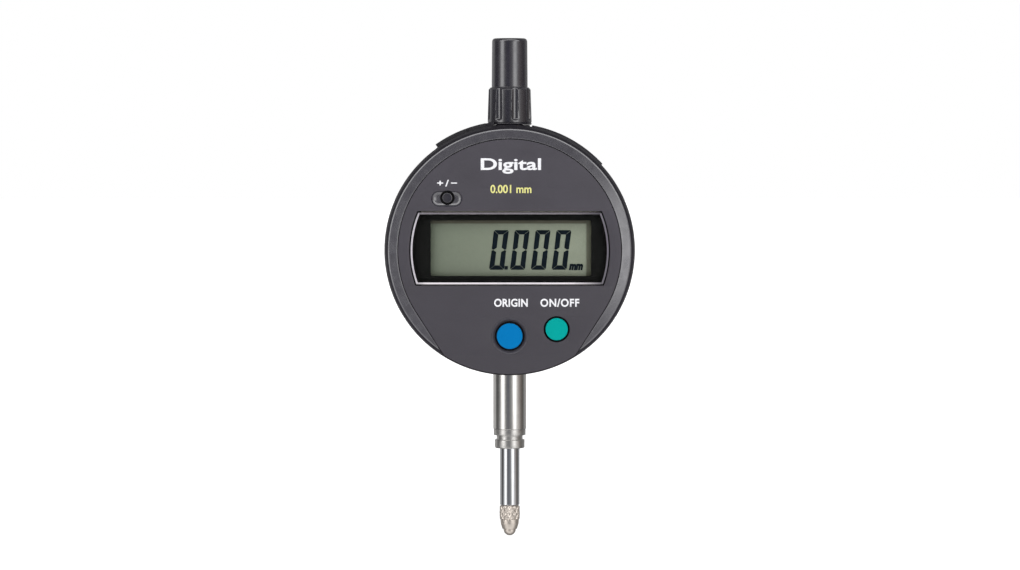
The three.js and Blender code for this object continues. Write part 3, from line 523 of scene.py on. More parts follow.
def pane_edge(name):
    """The pane's bevel, with a painted reflection: bright along the bottom, greyer towards the top, mid
    grey at the left end and dark at the right end.
    """
    finish = Finish(name, linear(236, 230, 236), 0.16, metallic=0.8)
    finish.mottle(finish.noise(0.4, detail=2), linear(214, 209, 214), 0, 0.5)
    # Painted reflection along the bevel: greyer towards the top, mid grey at the left end and dark at the
    # right end.
    finish.fade(finish.along("Z", WINDOW_BOTTOM + 1, WINDOW_TOP), linear(134, 129, 136))
    finish.fade(finish.along("X", -20, -23), linear(150, 146, 152))
    finish.fade(finish.along("X", 15, 22.5), linear(84, 81, 88))
    finish.roughen(finish.noise(2, detail=2), 0.12, 0.24)


def liquid_crystal(name):
    """The reflective screen: greener and darker to the left, with the fine speckle of its backing and a
    painted shadow of the mask's edge along its top and right side.
    """
    finish = Finish(name, linear(114, 120, 106), 0.35)
    right, top = SCREEN["right"], SCREEN["top"]
    finish.fade(finish.along("X", SCREEN["left"], right), linear(146, 150, 134))
    speckle = finish.noise(7, detail=3)
    finish.mottle(speckle, linear(98, 104, 92), 0, 0.35)
    # Painted shadow of the mask's edge along the top of the screen.
    finish.fade(finish.along("Z", top - 0.95, top - 0.6), linear(85, 82, 70))
    # Painted shadow of the mask's edge along the right side of the screen.
    finish.fade(finish.along("X", right - 1.35, right - 1.0), linear(96, 96, 82))
    finish.roughen(speckle, 0.3, 0.45)
    finish.relief(speckle, 0.002)


def circuit_board(name):
    """Green solder mask over a maze of copper tracks."""
    finish = Finish(name, linear(26, 86, 50), 0.35)
    inputs = {"Vector": finish.place(), "Scale": 0.9, "Mortar Size": 0.06}
    tracks = finish.add("ShaderNodeTexBrick", inputs).outputs["Fac"]
    finish.mottle(tracks, linear(66, 128, 74))
    finish.relief(tracks, 0.03)
    finish.mottle(finish.noise(0.4, detail=4), linear(18, 66, 38), 0, 0.6)


def mix_materials():
    moulded("charcoal_plastic", linear(66, 64, 71), 0.42, grain=4.5, depth=0.006)
    # A darker copy of the cover's plastic for its side wall: painted shade where the wall turns away from
    # the light.
    moulded("wall_plastic", linear(37, 35, 41), 0.5, grain=4.5, specular_ior_level=0.1)
    moulded("rim_plastic", linear(55, 53, 61), 0.23, depth=0.001, spread=0.08, ior=1.7,
            specular_ior_level=0.95)
    face_plastic("face_plastic")
    moulded("dark_plastic", linear(34, 32, 38), 0.4, grain=6, depth=0.003)
    moulded("black_plastic", linear(34, 32, 40), 0.18, grain=4, depth=0.001, ior=1.62,
            specular_ior_level=1.0)
    moulded("black_rubber", linear(34, 33, 37), 0.62, grain=7, depth=0.006)
    for name, colour in (("blue_rubber", linear(0, 110, 172)), ("green_rubber", linear(0, 152, 146))):
        moulded(name, colour, 0.5, grain=6, depth=0.003, spread=0.06, specular_ior_level=0.05)
    moulded("ivory_plastic", linear(216, 212, 198), 0.5)
    printed("white_ink", linear(236, 236, 240))
    printed("yellow_ink", linear(228, 224, 140))
    printed("segment_ink", linear(17, 25, 33), gloss=0.05)
    moulded("mask_ink", linear(22, 22, 22), 0.5, grain=3, depth=0.0003, specular_ior_level=0.05)
    clear_pane("clear_lens")
    pane_edge("lens_edge")
    liquid_crystal("display_glass")
    circuit_board("circuit_board")
    moulded("flex_film", linear(184, 108, 34), 0.3, grain=3)
    turned_metal("satin_steel", linear(212, 210, 207), 0.2, depth=0.0003)
    turned_metal("matt_steel", linear(200, 198, 195), 0.34, depth=0.0015, lines=9)
    turned_metal("bright_steel", linear(214, 215, 218), 0.1, depth=0.0002, lines=9)
    turned_metal("warm_steel", linear(226, 216, 206), 0.4, depth=0.0005)
    # Darker steel for the knurl's pits: partly duller metal, partly painted shade.
    turned_metal("dull_steel", linear(136, 128, 120), 0.45, depth=0.0005)
    turned_metal("brass", linear(208, 176, 98), 0.25)
    turned_metal("aluminium", linear(196, 198, 200), 0.35, axis="X", depth=0.002)
    turned_metal("screw_steel", linear(190, 190, 192), 0.28, axis="Y")


# ---- front of the case ----


def plate_radius(angle):
    """How far the face plate reaches in a direction; 0 is to the right and pi / 2 is up."""
    below = -math.asin(math.sin(angle)) - TANGENT
    straight = PLATE_RADIUS / math.cos(min(max(below, 0), 1))
    return min(PLATE_REACH, straight)


def rim_y(radius):
    """The conical band between the face plate and the crease."""
    return RIM_Y + (radius - PLATE_RADIUS) * (CREASE_Y - RIM_Y) / (CREASE_RADIUS - PLATE_RADIUS)


def cover_shell():
    """The cover's outer ring, with a sunk seat and a fine groove round the face plate."""
    band_steps = 6
    lip = 0.11
    lip_turns = [math.radians(turn) for turn in (25, 50, 75)]
    seat = 1.2
    floor_y = CREASE_Y + 0.25
    back_y = COVER.high.y
    bore = EDGE_RADIUS - 2.6
    outer = fillet([
        (CREASE_RADIUS - 0.5, rim_y(CREASE_RADIUS - 0.5)),
        (CREASE_RADIUS - 0.15, rim_y(CREASE_RADIUS - 0.15), 0.06),
        (CREASE_RADIUS + 0.11, CREASE_Y + 0.09, 0.06),
        (EDGE_RADIUS - 0.5, CREASE_Y + 1.1, 0.5),
        (EDGE_RADIUS, CREASE_Y + 4.2, 0.8),
        (EDGE_RADIUS, back_y, 0.15),
        (bore, back_y),
    ], closed=False)[1:-1]
    rings = []
    for angle in full_turn(288):
        start = plate_radius(angle) + GROOVE
        end = max(CREASE_RADIUS - 0.3, start + 0.08)
        first = min(start + 1.5 * lip, end - 0.02)
        band = [first + (end - first) * k / band_steps for k in range(band_steps)]
        top = rim_y(start) + lip
        section = [(start - seat, floor_y), (start, floor_y), (start, top)]
        section += [(start + lip - lip * math.cos(a), top - lip * math.sin(a)) for a in lip_turns]
        section += [(radius, rim_y(radius)) for radius in band]
        section += [(max(radius, end), y) for radius, y in outer]
        section += [(bore, back_y), (bore, INNER_FACE_Y), (start - seat, INNER_FACE_Y)]
        across, up = polar(1, angle)
        rings.append([Vector((radius * across, y, radius * up)) for radius, y in section])
    mesh = skin(rings, loop=True)
    # Faces behind the crease take the darker copy of the plastic: painted shade on the cover's side wall.
    for polygon in mesh.polygons:
        polygon.material_index = 1 if polygon.center.y > CREASE_Y + 0.13 else 0
    return mesh


def window_outline(inset, steps=24):
    """The window's straight top and bottom and arched sides, drawn in by an inset."""
    radius = WINDOW_SIDE_RADIUS - inset
    top = math.asin((WINDOW_TOP - inset) / radius)
    bottom = math.asin((WINDOW_BOTTOM + inset) / radius)
    right = [bottom + (top - bottom) * i / steps for i in range(steps + 1)]
    angles = right + [math.pi - angle for angle in reversed(right)]
    return [polar(radius, angle) for angle in angles]


def hole_radius(key):
    return BUTTONS[key]["radius"] + BUTTONS[key]["gap"]


def recess_reach(angle):
    """From the sign button's centre to the recess's stadium outline."""
    direction = Vector(polar(1, angle))
    start = SIGN.centre.xz - RECESS_CENTRE
    radius = RECESS_HEIGHT / 2
    half = RECESS_LENGTH / 2 - radius
    low, high = 0, RECESS_LENGTH
    for _ in range(30):
        middle = (low + high) / 2
        at = start + direction * middle
        nearest = Vector((min(max(at.x, -half), half), 0))
        if (at - nearest).length < radius:
            low = middle
        else:
            high = middle
    return max(low, hole_radius("sign") + 0.06)


def recess_depth(radius, angle):
    """How deep the trough is at a place given from the sign button's centre."""
    half_height = RECESS_HEIGHT / 2
    half_spine = RECESS_LENGTH / 2 - half_height
    x, z = SIGN.centre.xz - RECESS_CENTRE + Vector(polar(radius, angle))
    off_spine = math.hypot(x - min(max(x, -half_spine), half_spine), z)
    return RECESS_DEPTH * math.sqrt(max(0, 1 - (off_spine / half_height) ** 2))


def recess_outline():
    centre = SIGN.centre.xz
    offsets = [polar(recess_reach(angle), angle) for angle in full_turn(RECESS_STEPS)]
    return [(centre.x + x, centre.y + z) for x, z in offsets]


def face_plate():
    """The flat plate of the cover, with the window, the button holes and the recess cut out."""
    edge = [polar(plate_radius(angle), angle) for angle in full_turn(360)]
    holes = [
        window_outline(0, steps=32),
        circle(DISH_RADIUS, ORIGIN.centre.xz),
        circle(hole_radius("power"), POWER.centre.xz),
        recess_outline(),
    ]
    return flat_solid([edge, *holes], FACE_Y, CREASE_Y + 0.24, bevel=0.09)


def face_backing():
    """The rest of the cover's thickness behind the plate."""
    margin = 0.6
    edge = [polar(plate_radius(angle) - margin, angle) for angle in full_turn(180)]
    holes = [window_outline(0.02, steps=32)]
    for key, button in BUTTONS.items():
        holes.append(circle(hole_radius(key), button["box"].centre.xz, steps=64))
    return flat_solid([edge, *holes], CREASE_Y + 0.26, INNER_FACE_Y)


def origin_dish():
    """The dished ring round the larger button."""
    hole = hole_radius("origin")
    ring = [
        (hole, FACE_Y + 0.95, 0.1),
        (DISH_RADIUS - 0.25, FACE_Y + 0.28, 0.2),
        (DISH_RADIUS - 0.01, FACE_Y + 0.12, 0.04),
        (DISH_RADIUS - 0.01, CREASE_Y + 0.5),
        (hole, CREASE_Y + 0.5),
    ]
    x, z = ORIGIN.centre.xz
    return lathe(ring, axis="Y", steps=96, place=(x, 0, z))


def sign_recess():
    """A scooped stadium with the button's hole through it."""
    levels = 12
    rim, back_y = 0.08, CREASE_Y + 0.6
    hole = hole_radius("sign")
    x, z = SIGN.centre.xz
    rings = []
    for angle in full_turn(RECESS_STEPS):
        reach = recess_reach(angle)
        section = [(reach + 0.05, back_y), (reach + 0.05, FACE_Y + rim + 0.03)]
        for level in range(levels + 1):
            radius = reach - (reach - hole) * level / levels
            section.append((radius, FACE_Y + rim + recess_depth(radius, angle)))
        section.append((hole, back_y))
        across, up = polar(1, angle)
        rings.append([Vector((x + r * across, y, z + r * up)) for r, y in section])
    return skin(rings, loop=True)


def button_cap(key):
    """A button: slightly hollow front, rounded edge, and a dark side, shank and flange behind them; the
    dark side is painted shade of the gap round the button.
    """
    button = BUTTONS[key]
    radius, rounding, box = button["radius"], button["rounding"], button["box"]
    front, foot_y = box.low.y, box.high.y
    shank = radius * 0.4
    flange = box.size.x / 2
    flange_y = INNER_FACE_Y + 0.1
    x, z = box.centre.xz
    mesh = lathe([
        (0, front + 0.06), (radius * 0.6, front + 0.03, 2), (radius - 0.05, front, rounding),
        (radius, flange_y), (flange, flange_y), (flange, flange_y + 0.7),
        (shank, flange_y + 0.7), (shank, foot_y), (0, foot_y),
    ], axis="Y", steps=96, place=(x, 0, z))
    # Behind the rounded edge the button takes the black rubber: on its side this is painted shade of the
    # gap round it.
    for polygon in mesh.polygons:
        polygon.material_index = 1 if polygon.center.y > front + rounding else 0
    return mesh


def window_pane():
    """The clear pane, bevelled all round. Its second material is the bevel's."""
    front, back = FACE_Y - 0.06, LENS.low.y + 0.7
    levels = [
        (WINDOW_GAP, back),
        (WINDOW_GAP, front + PANE_BEVEL_DEPTH),
        (WINDOW_GAP + PANE_BEVEL, front),
    ]
    rings = [[Vector((x, y, z)) for x, z in window_outline(inset)] for inset, y in levels]
    mesh = skin(rings)
    for polygon in mesh.polygons:
        flat = abs(polygon.normal.y) > 0.99
        polygon.material_index = 0 if flat else 1
    return mesh


def window_mask():
    """The black surround printed behind the pane, with the screen's opening."""
    corner = 0.4
    left, right, bottom, top = (SCREEN[side] for side in ("left", "right", "bottom", "top"))
    corners = [(left, bottom), (right, bottom), (right, top), (left, top)]
    opening = fillet([(x, z, corner) for x, z in corners])
    return flat_solid([window_outline(0.35), opening], MASK_Y - 0.25, MASK_Y, bevel=0.04)


def window_frame():
    """The dark wall behind the pane's edge."""
    outer, inner = window_outline(WINDOW_GAP), window_outline(1.1)
    return flat_solid([outer, inner], LENS.low.y + 0.72, LENS.high.y - 0.4)


def screen():
    """Two sheets of glass, the rear one showing as a ledge below."""
    low, high = LCD.low, LCD.high
    middle = (low.y + high.y) / 2
    front = block((low.x, low.y, low.z + 0.9), (high.x, middle - 0.02, high.z), 0.08)
    rear = block((low.x, middle + 0.02, low.z), (high.x, high.y, high.z), 0.08)
    return joined(front, rear)


def zero_segments():
    """The six lit bars of a seven-segment zero, upright, from its lower left corner."""
    width, height, stroke, upright = DIGIT_WIDTH, DIGIT_HEIGHT, DIGIT_STROKE, DIGIT_UPRIGHT
    gap, corner = 0.05, 0.12
    half = height / 2
    end = corner + gap
    top = [(end + 0.12, height), (width - end - 0.12, height), (width - end, height - corner),
           (width - upright - gap, height - stroke), (upright + gap, height - stroke),
           (end, height - corner)]
    side = [(0, height - 0.4), (corner, height - end), (upright, height - stroke - gap),
            (upright, half + 0.5), (0.45, half + 0.04), (0.06, half + 0.18)]
    flip = [(x, height - z) for x, z in top]
    lower = [(x, height - z) for x, z in side]
    mirrored = [[(width - x, z) for x, z in bar] for bar in (side, lower)]
    return [top, flip, side, lower, *mirrored]


def digit_outlines():
    outlines = []
    for index in range(DIGIT_COUNT):
        left = DIGITS_LEFT + index * DIGIT_PITCH
        for bar in zero_segments():
            outlines.append([(left + x + z * DIGIT_SLANT, DIGITS_BOTTOM + z) for x, z in bar])
    point = [(-1.27, -4.56), (-0.47, -4.56), (-0.4, -3.7), (-1.2, -3.7)]
    return [*outlines, point]


def reading():
    y = LCD.low.y
    digits = flat_solid(digit_outlines(), y - 0.05, y - 0.03)
    unit = lettering("mm", 15.9, -3.9, 3.4, 1.6, y - 0.05, bold=0.064, shear=0.22)
    return joined(digits, unit)


def lettering(text, x, z, width, height, y, bold=0.02, shear=0.0, spacing=1.0):
    """Raised letters stretched to a width and height about a centre."""
    curve = bpy.data.curves.new("lettering", "FONT")
    curve.body = text
    curve.offset = bold
    curve.shear = shear
    curve.space_character = spacing
    curve.resolution_u = 6
    thick = bmesh.new()
    thick.from_mesh(evaluated(linked("lettering", curve)))
    bmesh.ops.remove_doubles(thick, verts=thick.verts, dist=1e-5)
    made = bmesh.ops.extrude_face_region(thick, geom=thick.faces[:])
    raised = [part for part in made["geom"] if isinstance(part, bmesh.types.BMVert)]
    bmesh.ops.translate(thick, verts=raised, vec=(0, 0, 1))
    mesh = to_mesh(thick)
    points = [vertex.co for vertex in mesh.vertices]
    low = Vector((min(p.x for p in points), min(p.y for p in points), 0))
    high = Vector((max(p.x for p in points), max(p.y for p in points), 0))
    size = high - low
    mesh.transform(Matrix.Translation(-(low + high) / 2))
    mesh.transform(Matrix.Diagonal((width / size.x, height / size.y, 0.02, 1)))
    mesh.transform(Matrix.Rotation(math.pi / 2, 4, "X"))
    return moved(mesh, x, y, z)


def build_front():
    cover = ("case", "charcoal_plastic", "front_cover")
    piece("cover_shell", cover_shell(), "rim_plastic wall_plastic", *cover, sharp=40)
    piece("face_plate", face_plate(), "face_plastic", *cover)
    piece("face_backing", face_backing(), "dark_plastic", *cover)
    piece("origin_dish", origin_dish(), "charcoal_plastic", *cover)
    piece("sign_recess", sign_recess(), "rim_plastic", *cover)
    lens = ("case", "clear_lens", "display_lens")
    piece("window_pane", window_pane(), "clear_lens lens_edge", *lens, sharp=12)
    piece("window_mask", window_mask(), "mask_ink", *lens)
    piece("window_frame", window_frame(), "mask_ink", *lens)
    piece("screen", screen(), "display_glass", "case", "display_glass", "lcd_panel")
    piece("reading", reading(), "segment_ink", "case", "display_glass")


def build_labels():
    """The printed words: text, centre, size, thickening of the strokes, spacing and ink."""
    labels = {
        "label_name": ("Digital", 0.3, 20.3, 14.4, 3.7, 0.022, 1.0, "white_ink"),
        "label_origin": ("ORIGIN", 0.3, -12.4, 8.05, 1.95, 0.028, 1.04, "white_ink"),
        "label_power": ("ON/OFF", 12.0, -12.4, 9.3, 1.95, 0.028, 1.12, "white_ink"),
        "label_sign": ("+/−", -14.95, 16.2, 4.75, 1.6, 0.022, 1.3, "white_ink"),
        "label_resolution": ("0.001 mm", 0.3, 14.8, 9.8, 2.0, 0.02, 1.0, "yellow_ink"),
    }
    y = FACE_Y - 0.011
    for name, (text, x, z, width, height, bold, spacing, ink) in labels.items():
        mesh = lettering(text, x, z, width, height, y, bold=bold, spacing=spacing)
        piece(name, mesh, ink, "case", "charcoal_plastic")


def build_buttons():
    looks = {"origin": "blue_rubber", "power": "green_rubber", "sign": "black_plastic"}
    for key, look in looks.items():
        piece(f"{key}_button_cap", button_cap(key), f"{look} black_rubber", f"{key}_key", look,
              f"{key}_button")


# ---- rear of the case ----


def ring_section(start, end, section, steps):
    """A section of (radius, y) swept about Y from one angle to another, clockwise from the top."""
    rings = []
    for i in range(steps + 1):
        angle = math.radians(start + (end - start) * i / steps)
        rings.append([Vector((r * math.sin(angle), y, r * math.cos(angle))) for r, y in section])
    return skin(rings)


def housing_shell():
    """A shallow dish whose wall is open at the two bays."""
    radius = HOUSING.size.x / 2
    front_y, back_y = COVER.high.y + 0.02, HOUSING.high.y
    floor_y = back_y - 2
    bore = radius - 2.7
    floor = lathe([(0, floor_y), (radius, floor_y), (radius, back_y, 0.9), (0, back_y)],
                  axis="Y", steps=256)
    wall = fillet([(bore, front_y), (radius, front_y, 0.15), (radius, floor_y), (bore, floor_y)])
    (battery, battery_span), (port, port_span) = BAY_DOORS.values()
    spare = 0.6
    battery_span += spare
    port_span += spare
    long_wall = ring_section(battery + battery_span, port - port_span + 360, wall, 200)
    short_wall = ring_section(port + port_span, battery - battery_span, wall, 24)
    return joined(floor, long_wall, short_wall)


def housing_neck():
    """The collar under the cap, the shoulder beside it, and the bosses of the stem and top bush."""
    foot, top = 26.5, CAP.low.z - 0.04
    bore, radius, lip = 4.1, 5.05, 3.45
    neck = lathe([
        (bore, foot), (radius, foot), (radius, top - 0.5, 0.1), (4.85, top, 0.15), (lip, top),
        (lip, top - 0.12), (bore, top - 0.12),
    ], steps=96)
    shoulder_section = [(28.3, -5.1), (31.0, -5.1), (31.0, 4.7), (28.3, 4.7)]
    shoulder = ring_section(-10.73, -7, shoulder_section, 4)
    front_y, back_y = COVER.high.y + 0.1, 5.2
    stem_boss = block((-6.5, front_y, -27.5), (6.5, back_y, STEM.low.z + 19.0), 0.2)
    top_boss = block((-5.2, front_y, 24.5), (5.2, back_y, 27.5), 0.2)
    drill = lathe([(0, -40), (4.05, -40), (4.05, 40), (0, 40)], steps=64)
    return joined(neck, cut(stem_boss, drill), cut(top_boss, drill), rounded(shoulder, 0.06))


def back_cover():
    """The rear plate, with a rounded edge and four screw seats."""
    seats = [circle(2.05, place, steps=48) for place in back_screw_places()]
    edge = circle(BACK.size.x / 2, steps=256)
    return flat_solid([edge, *seats], HOUSING.high.y, BACK_FACE_Y, bevel=0.4)


def back_screw_places():
    centres = [NodeBox(f"back_screw_{i}").centre for i in range(1, 5)]
    return [(centre.x, centre.z) for centre in centres]


def lug():
    """The ear on the back: flanks that rise to a round end about its hole."""
    end_radius = BACK.high.y - LUG_HOLE_Y
    half_height = 8
    foot_y = BACK_FACE_Y - 0.3
    turn = math.radians(100)
    arc = [turn * (i / 20 - 1) for i in range(41)]
    outline = [(foot_y, -half_height), (BACK_FACE_Y + 0.6, -half_height)]
    outline += [(LUG_HOLE_Y + end_radius * math.cos(a), end_radius * math.sin(a)) for a in arc]
    outline += [(BACK_FACE_Y + 0.6, half_height), (foot_y, half_height)]
    hole = circle(LUG_HOLE_RADIUS, (LUG_HOLE_Y, 0), steps=64)
    mesh = flat_solid([outline, hole], -2.5, 2.5, bevel=0.35)
    mesh.transform(Matrix.Rotation(math.pi / 2, 4, "Z"))
    return mesh


def screw_head(x, z):
    """A countersunk head with a cross recess, and its shank."""
    head_y, end_y = SCREW.high.y, SCREW.low.y
    radius = SCREW.size.x / 2
    neck, neck_y = 0.9, head_y - 1.2
    head = lathe([
        (0, neck_y), (neck, neck_y), (radius, head_y - 0.22, 0.1),
        (radius - 0.08, head_y, 0.12), (0, head_y + 0.03),
    ], axis="Y", steps=64)
    arm, width, depth = radius * 0.62, radius * 0.14, 0.55
    cross = [block((-a, head_y - depth, -b), (a, head_y + 1, b)) for a, b in ((arm, width), (width, arm))]
    shank = lathe([(0, end_y), (0.75, end_y), (neck, neck_y - 0.02), (0, neck_y - 0.02)],
                  axis="Y", steps=32)
    mesh = joined(cut(head, *cross), shank)
    return moved(turned_about_y(mesh, 10 * x - 7 * z), x, 0, z)


def build_rear():
    plastic = "charcoal_plastic"
    piece("housing_shell", housing_shell(), plastic, "case", plastic, "rear_housing")
    piece("housing_neck", housing_neck(), "dark_plastic", "case", plastic, "rear_housing")
    piece("back_cover", back_cover(), plastic, "case", plastic, "back_plate")
    piece("mounting_lug", lug(), plastic, "case", plastic, "back_plate")
    for index, (x, z) in enumerate(back_screw_places(), 1):
        piece(f"back_screw_head_{index}", screw_head(x, z), "screw_steel", "case", "satin_steel",
              f"back_screw_{index}")


# ---- bays ----


def bay_door(node, inner, outer, rounding):
    angle, half_span = BAY_DOORS[node]
    section = [(inner, -5.2), (outer, -5.2), (outer, 4.7), (inner, 4.7)]
    door = ring_section(-half_span, half_span, section, 40)
    return rounded(door, rounding), angle


def connector_cover():
    """A rubber cover, with a lower step at its left end and a small pip on its edge."""
    door, angle = bay_door("connector_cover", 28.2, 31.05, 0.12)
    step = ring_section(-13.0, -11.6, [(28.2, -4.8), (30.2, -4.8), (30.2, 4.3), (28.2, 4.3)], 6)
    front_y, root_y = -5.35, -5.15
    pip = lathe([(0, front_y), (0.28, front_y, 0.12), (0.34, root_y), (0, root_y)],
                axis="Y", steps=24, place=(1.9, 0, 30.6))
    return turned_about_y(joined(door, rounded(step, 0.15), pip), angle)


def battery_drawer():
    """The drawer: a door in the rim, and the cell's round-ended tray behind it."""
    door, angle = bay_door("battery_tray", 28.2, 30.5, 0.2)
    box = NodeBox("battery")
    wall = 6.6
    arc = [polar(wall, math.pi + math.pi * i / 40) for i in range(41)]
    outline = [(x, CELL_Z + z) for x, z in arc]
    outline += [(wall, 28), (5, 28.5), (-5, 28.5), (-wall, 28)]
    pocket = circle(5.92, (0, CELL_Z))
    rim = flat_solid([outline, pocket], box.low.y + 0.2, box.high.y + 0.02, bevel=0.1)
    floor = flat_solid([outline], box.high.y + 0.03, 4.7, bevel=0.05)
    return turned_about_y(joined(door, rim, floor), angle)


def cell():
    """A button cell: rolled crimp, flat can and a raised cap."""
    box = NodeBox("battery")
    angle, _ = BAY_DOORS["battery_tray"]
    front, back = box.low.y, box.high.y
    radius = 5.78
    can = lathe([
        (0, front), (4.7, front, 0.3), (4.85, front + 0.42, 0.1), (5.2, front + 0.42, 0.1),
        (5.3, front + 0.18, 0.1), (radius, front + 0.5, 0.35), (radius, back, 0.35), (0, back),
    ], axis="Y", steps=96, place=(0, 0, CELL_Z))
    return turned_about_y(can, angle)


def build_bays():
    drawer = "battery_drawer"
    piece("connector_cover_rubber", connector_cover(), "black_rubber", "port_cover", "black_rubber",
          "connector_cover")
    piece("battery_drawer_moulding", battery_drawer(), "dark_plastic", drawer, "black_plastic",
          "battery_tray")
    piece("button_cell", cell(), "bright_steel", drawer, "bright_steel", "battery")


# ---- stem, bushes and cap ----


def stem_tube():
    low, high = STEM.low.z, STEM.high.z
    flange_z = high - 1.2
    bore, radius, flange = 3, 4, 4.9
    return lathe([
        (bore, low), (radius, low, 0.15), (radius, flange_z), (flange, flange_z),
        (flange, high, 0.1), (bore, high),
    ], steps=160)


def lower_bush():
    """The bush in the stem's end: a ring, a narrow neck and a collar with a broken edge."""
    low, high = BUSH.low.z, BUSH.high.z
    bore, spigot, neck, collar, ring = 2.47, 2.94, 3.15, 3.625, 3.875
    collar_top, ring_bottom, ring_top = low + 2.08, low + 3.15, STEM.low.z - 0.02
    return lathe([
        (bore, low, 0.1), (collar, low, 0.3), (collar, collar_top, 0.15), (neck, collar_top, 0.1),
        (neck, ring_bottom, 0.15), (ring, ring_bottom, 0.12), (ring, ring_top, 0.08),
        (spigot, ring_top), (spigot, high), (bore, high),
    ], steps=160)


def threaded_bush():
    """The top bush, with a screw thread that the cap goes on."""
    low, top = TOP_BUSH.low.z, TOP_BUSH.high.z
    shoulder = low + 1
    neck = low + 6.5
    bore = 2.46
    spigot = 3.36
    pitch = 0.5
    root, half_crest = spigot - 0.2, 0.06
    crests = int((top - neck - 0.6) / pitch)
    profile = [(bore, low), (4.7, low, 0.1), (4.7, shoulder), (4, shoulder), (4, neck)]
    for i in range(crests):
        z = neck + 0.2 + i * pitch
        crest = z + pitch / 2
        profile += [(root, z), (spigot, crest - half_crest), (spigot, crest + half_crest)]
    profile += [(root, top - 0.3), (spigot - 0.3, top), (bore, top)]
    return lathe(profile)


def flute_radius(radius, angle, z):
    """The cap's surface where one of its eight flutes, round at their lower ends, cuts it."""
    tool, distance = 1.33, 6.13
    flutes, first = 8, math.radians(15)
    low_end, squash = CAP.low.z + 1.65, 1.9
    pitch = 2 * math.pi / flutes
    away = (angle + math.pi / 2 - first + pitch / 2) % pitch - pitch / 2
    below = max(low_end - z, 0) * squash
    if below >= tool or abs(away) > math.pi / 4:
        return radius
    reach = math.sqrt(tool ** 2 - below ** 2)
    side = distance * math.sin(away)
    if abs(side) >= reach:
        return radius
    return min(radius, distance * math.cos(away) - math.sqrt(reach ** 2 - side ** 2))


def cap_profile():
    """Half the cap's outline from its foot to the middle of its top, as (radius, z)."""
    low, top = CAP.low.z, CAP.high.z
    return fillet([
        (3.5, low), (5.25, low, 0.1), (5.35, low + 0.35, 0.06), (5.2, low + 0.5, 0.05),
        (5.33, low + 0.66, 0.06), (5.08, CAP_WAIST - 0.6, 0.14), (4.66, CAP_WAIST - 0.1, 0.12),
        (4.3, CAP_WAIST, 0.08), (4.35, CAP_WAIST + 0.2, 0.1), (4.26, top, 0.8), (0, top),
    ], closed=False)


def spindle_cap():
    """A fluted finger sleeve under a plain cylinder with a rounded top."""
    steps, row = 384, 0.16
    top, floor, ceiling = CAP.high.z, TOP_BUSH.high.z + 0.3, CAP.high.z - 1.4
    outline = []
    for start, end in zip(cap_profile(), cap_profile()[1:]):
        pieces = max(1, round(abs(end.y - start.y) / row))
        outline += [start.lerp(end, i / pieces) for i in range(pieces)]
    inside = [(2.75, ceiling), (2.75, floor), (3.5, floor)]
    rings = [[Vector((0, 0, ceiling))]] + [level_ring(radius, z, steps) for radius, z in inside]
    for radius, z in outline:
        ring = []
        for angle in full_turn(steps):
            here = flute_radius(radius, angle, z) if z < CAP_WAIST else radius
            ring.append(Vector((*polar(here, angle), z)))
        rings.append(ring)
    return skin([*rings, [Vector((0, 0, top))]])


def build_stem():
    piece("stem_tube", stem_tube(), "satin_steel", "case", "satin_steel", "stem")
    piece("stem_end_bush", lower_bush(), "matt_steel", "case", "satin_steel", "lower_bush")
    piece("threaded_top_bush", threaded_bush(), "brass", "case", "brass", "top_bush")
    piece("cap_sleeve", spindle_cap(), "black_plastic", "cap", "black_plastic", "spindle_cap", sharp=40)


# ---- spindle and contact point ----


def spindle_rod():
    low, high = SPINDLE.low.z, SPINDLE.high.z
    radius, socket, socket_end = 2.4, 1.2, low + 6
    return lathe([
        (0, socket_end), (socket, socket_end), (socket, low), (radius, low, 0.15),
        (radius, high, 0.4), (0, high),
    ])


def knurl_height(angle, z):
    """1 on the knurl's crossed ridges and 0 in the pits between them."""
    count, lead = 14, 0.56
    turns = count * angle / (2 * math.pi)
    off_ridge = min(abs((turns + slant * z * lead + 0.5) % 1 - 0.5) for slant in (-1, 1))
    return max(0, 1 - off_ridge / 0.28)


def contact_point():
    """A knurled head that tapers to a nose, with the ball held in its end."""
    top, nose = TIP.high.z, TIP.low.z
    seat = top - 5.3
    cone = seat - 3.3
    radius, nose_radius, stud, socket = 2.47, 1.76, 1.15, 1.46
    depth, chamfer = 0.16, 0.12
    steps, rows = 360, 72
    rings = [[Vector((0, 0, top))], level_ring(stud, top, steps)]
    rings += [level_ring(stud, seat, steps), level_ring(radius - 0.3, seat, steps)]
    pit = radius - chamfer - depth
    for row in range(rows + 1):
        z = seat - 0.03 + (cone - seat + 0.03) * row / rows
        edge = min((seat - z) / 0.2, (z - cone) / 0.15 + 0.35, 1)
        rings.append([
            Vector((*polar(pit + edge * (chamfer + depth * knurl_height(angle, z)), angle), z))
            for angle in full_turn(steps)
        ])
    taper = fillet([
        (radius - 0.2, cone - 0.02), (2.18, cone - 1.1, 2.5), (nose_radius, nose, 0.12),
        (socket, nose + 0.02),
    ], closed=False)
    rings += [level_ring(r, z, steps) for r, z in taper]
    rings += [level_ring(socket, nose + 1, steps), [Vector((0, 0, nose + 1))]]
    mesh = skin(rings)
    # The knurl's pits take the darker steel: partly duller metal in the hollows, partly painted shade in
    # the pits.
    for polygon in mesh.polygons:
        in_knurl = cone + 0.1 < polygon.center.z < seat - 0.15
        sunk = polygon.center.xy.length < pit + depth / 2
        polygon.material_index = 1 if in_knurl and sunk else 0
    return mesh


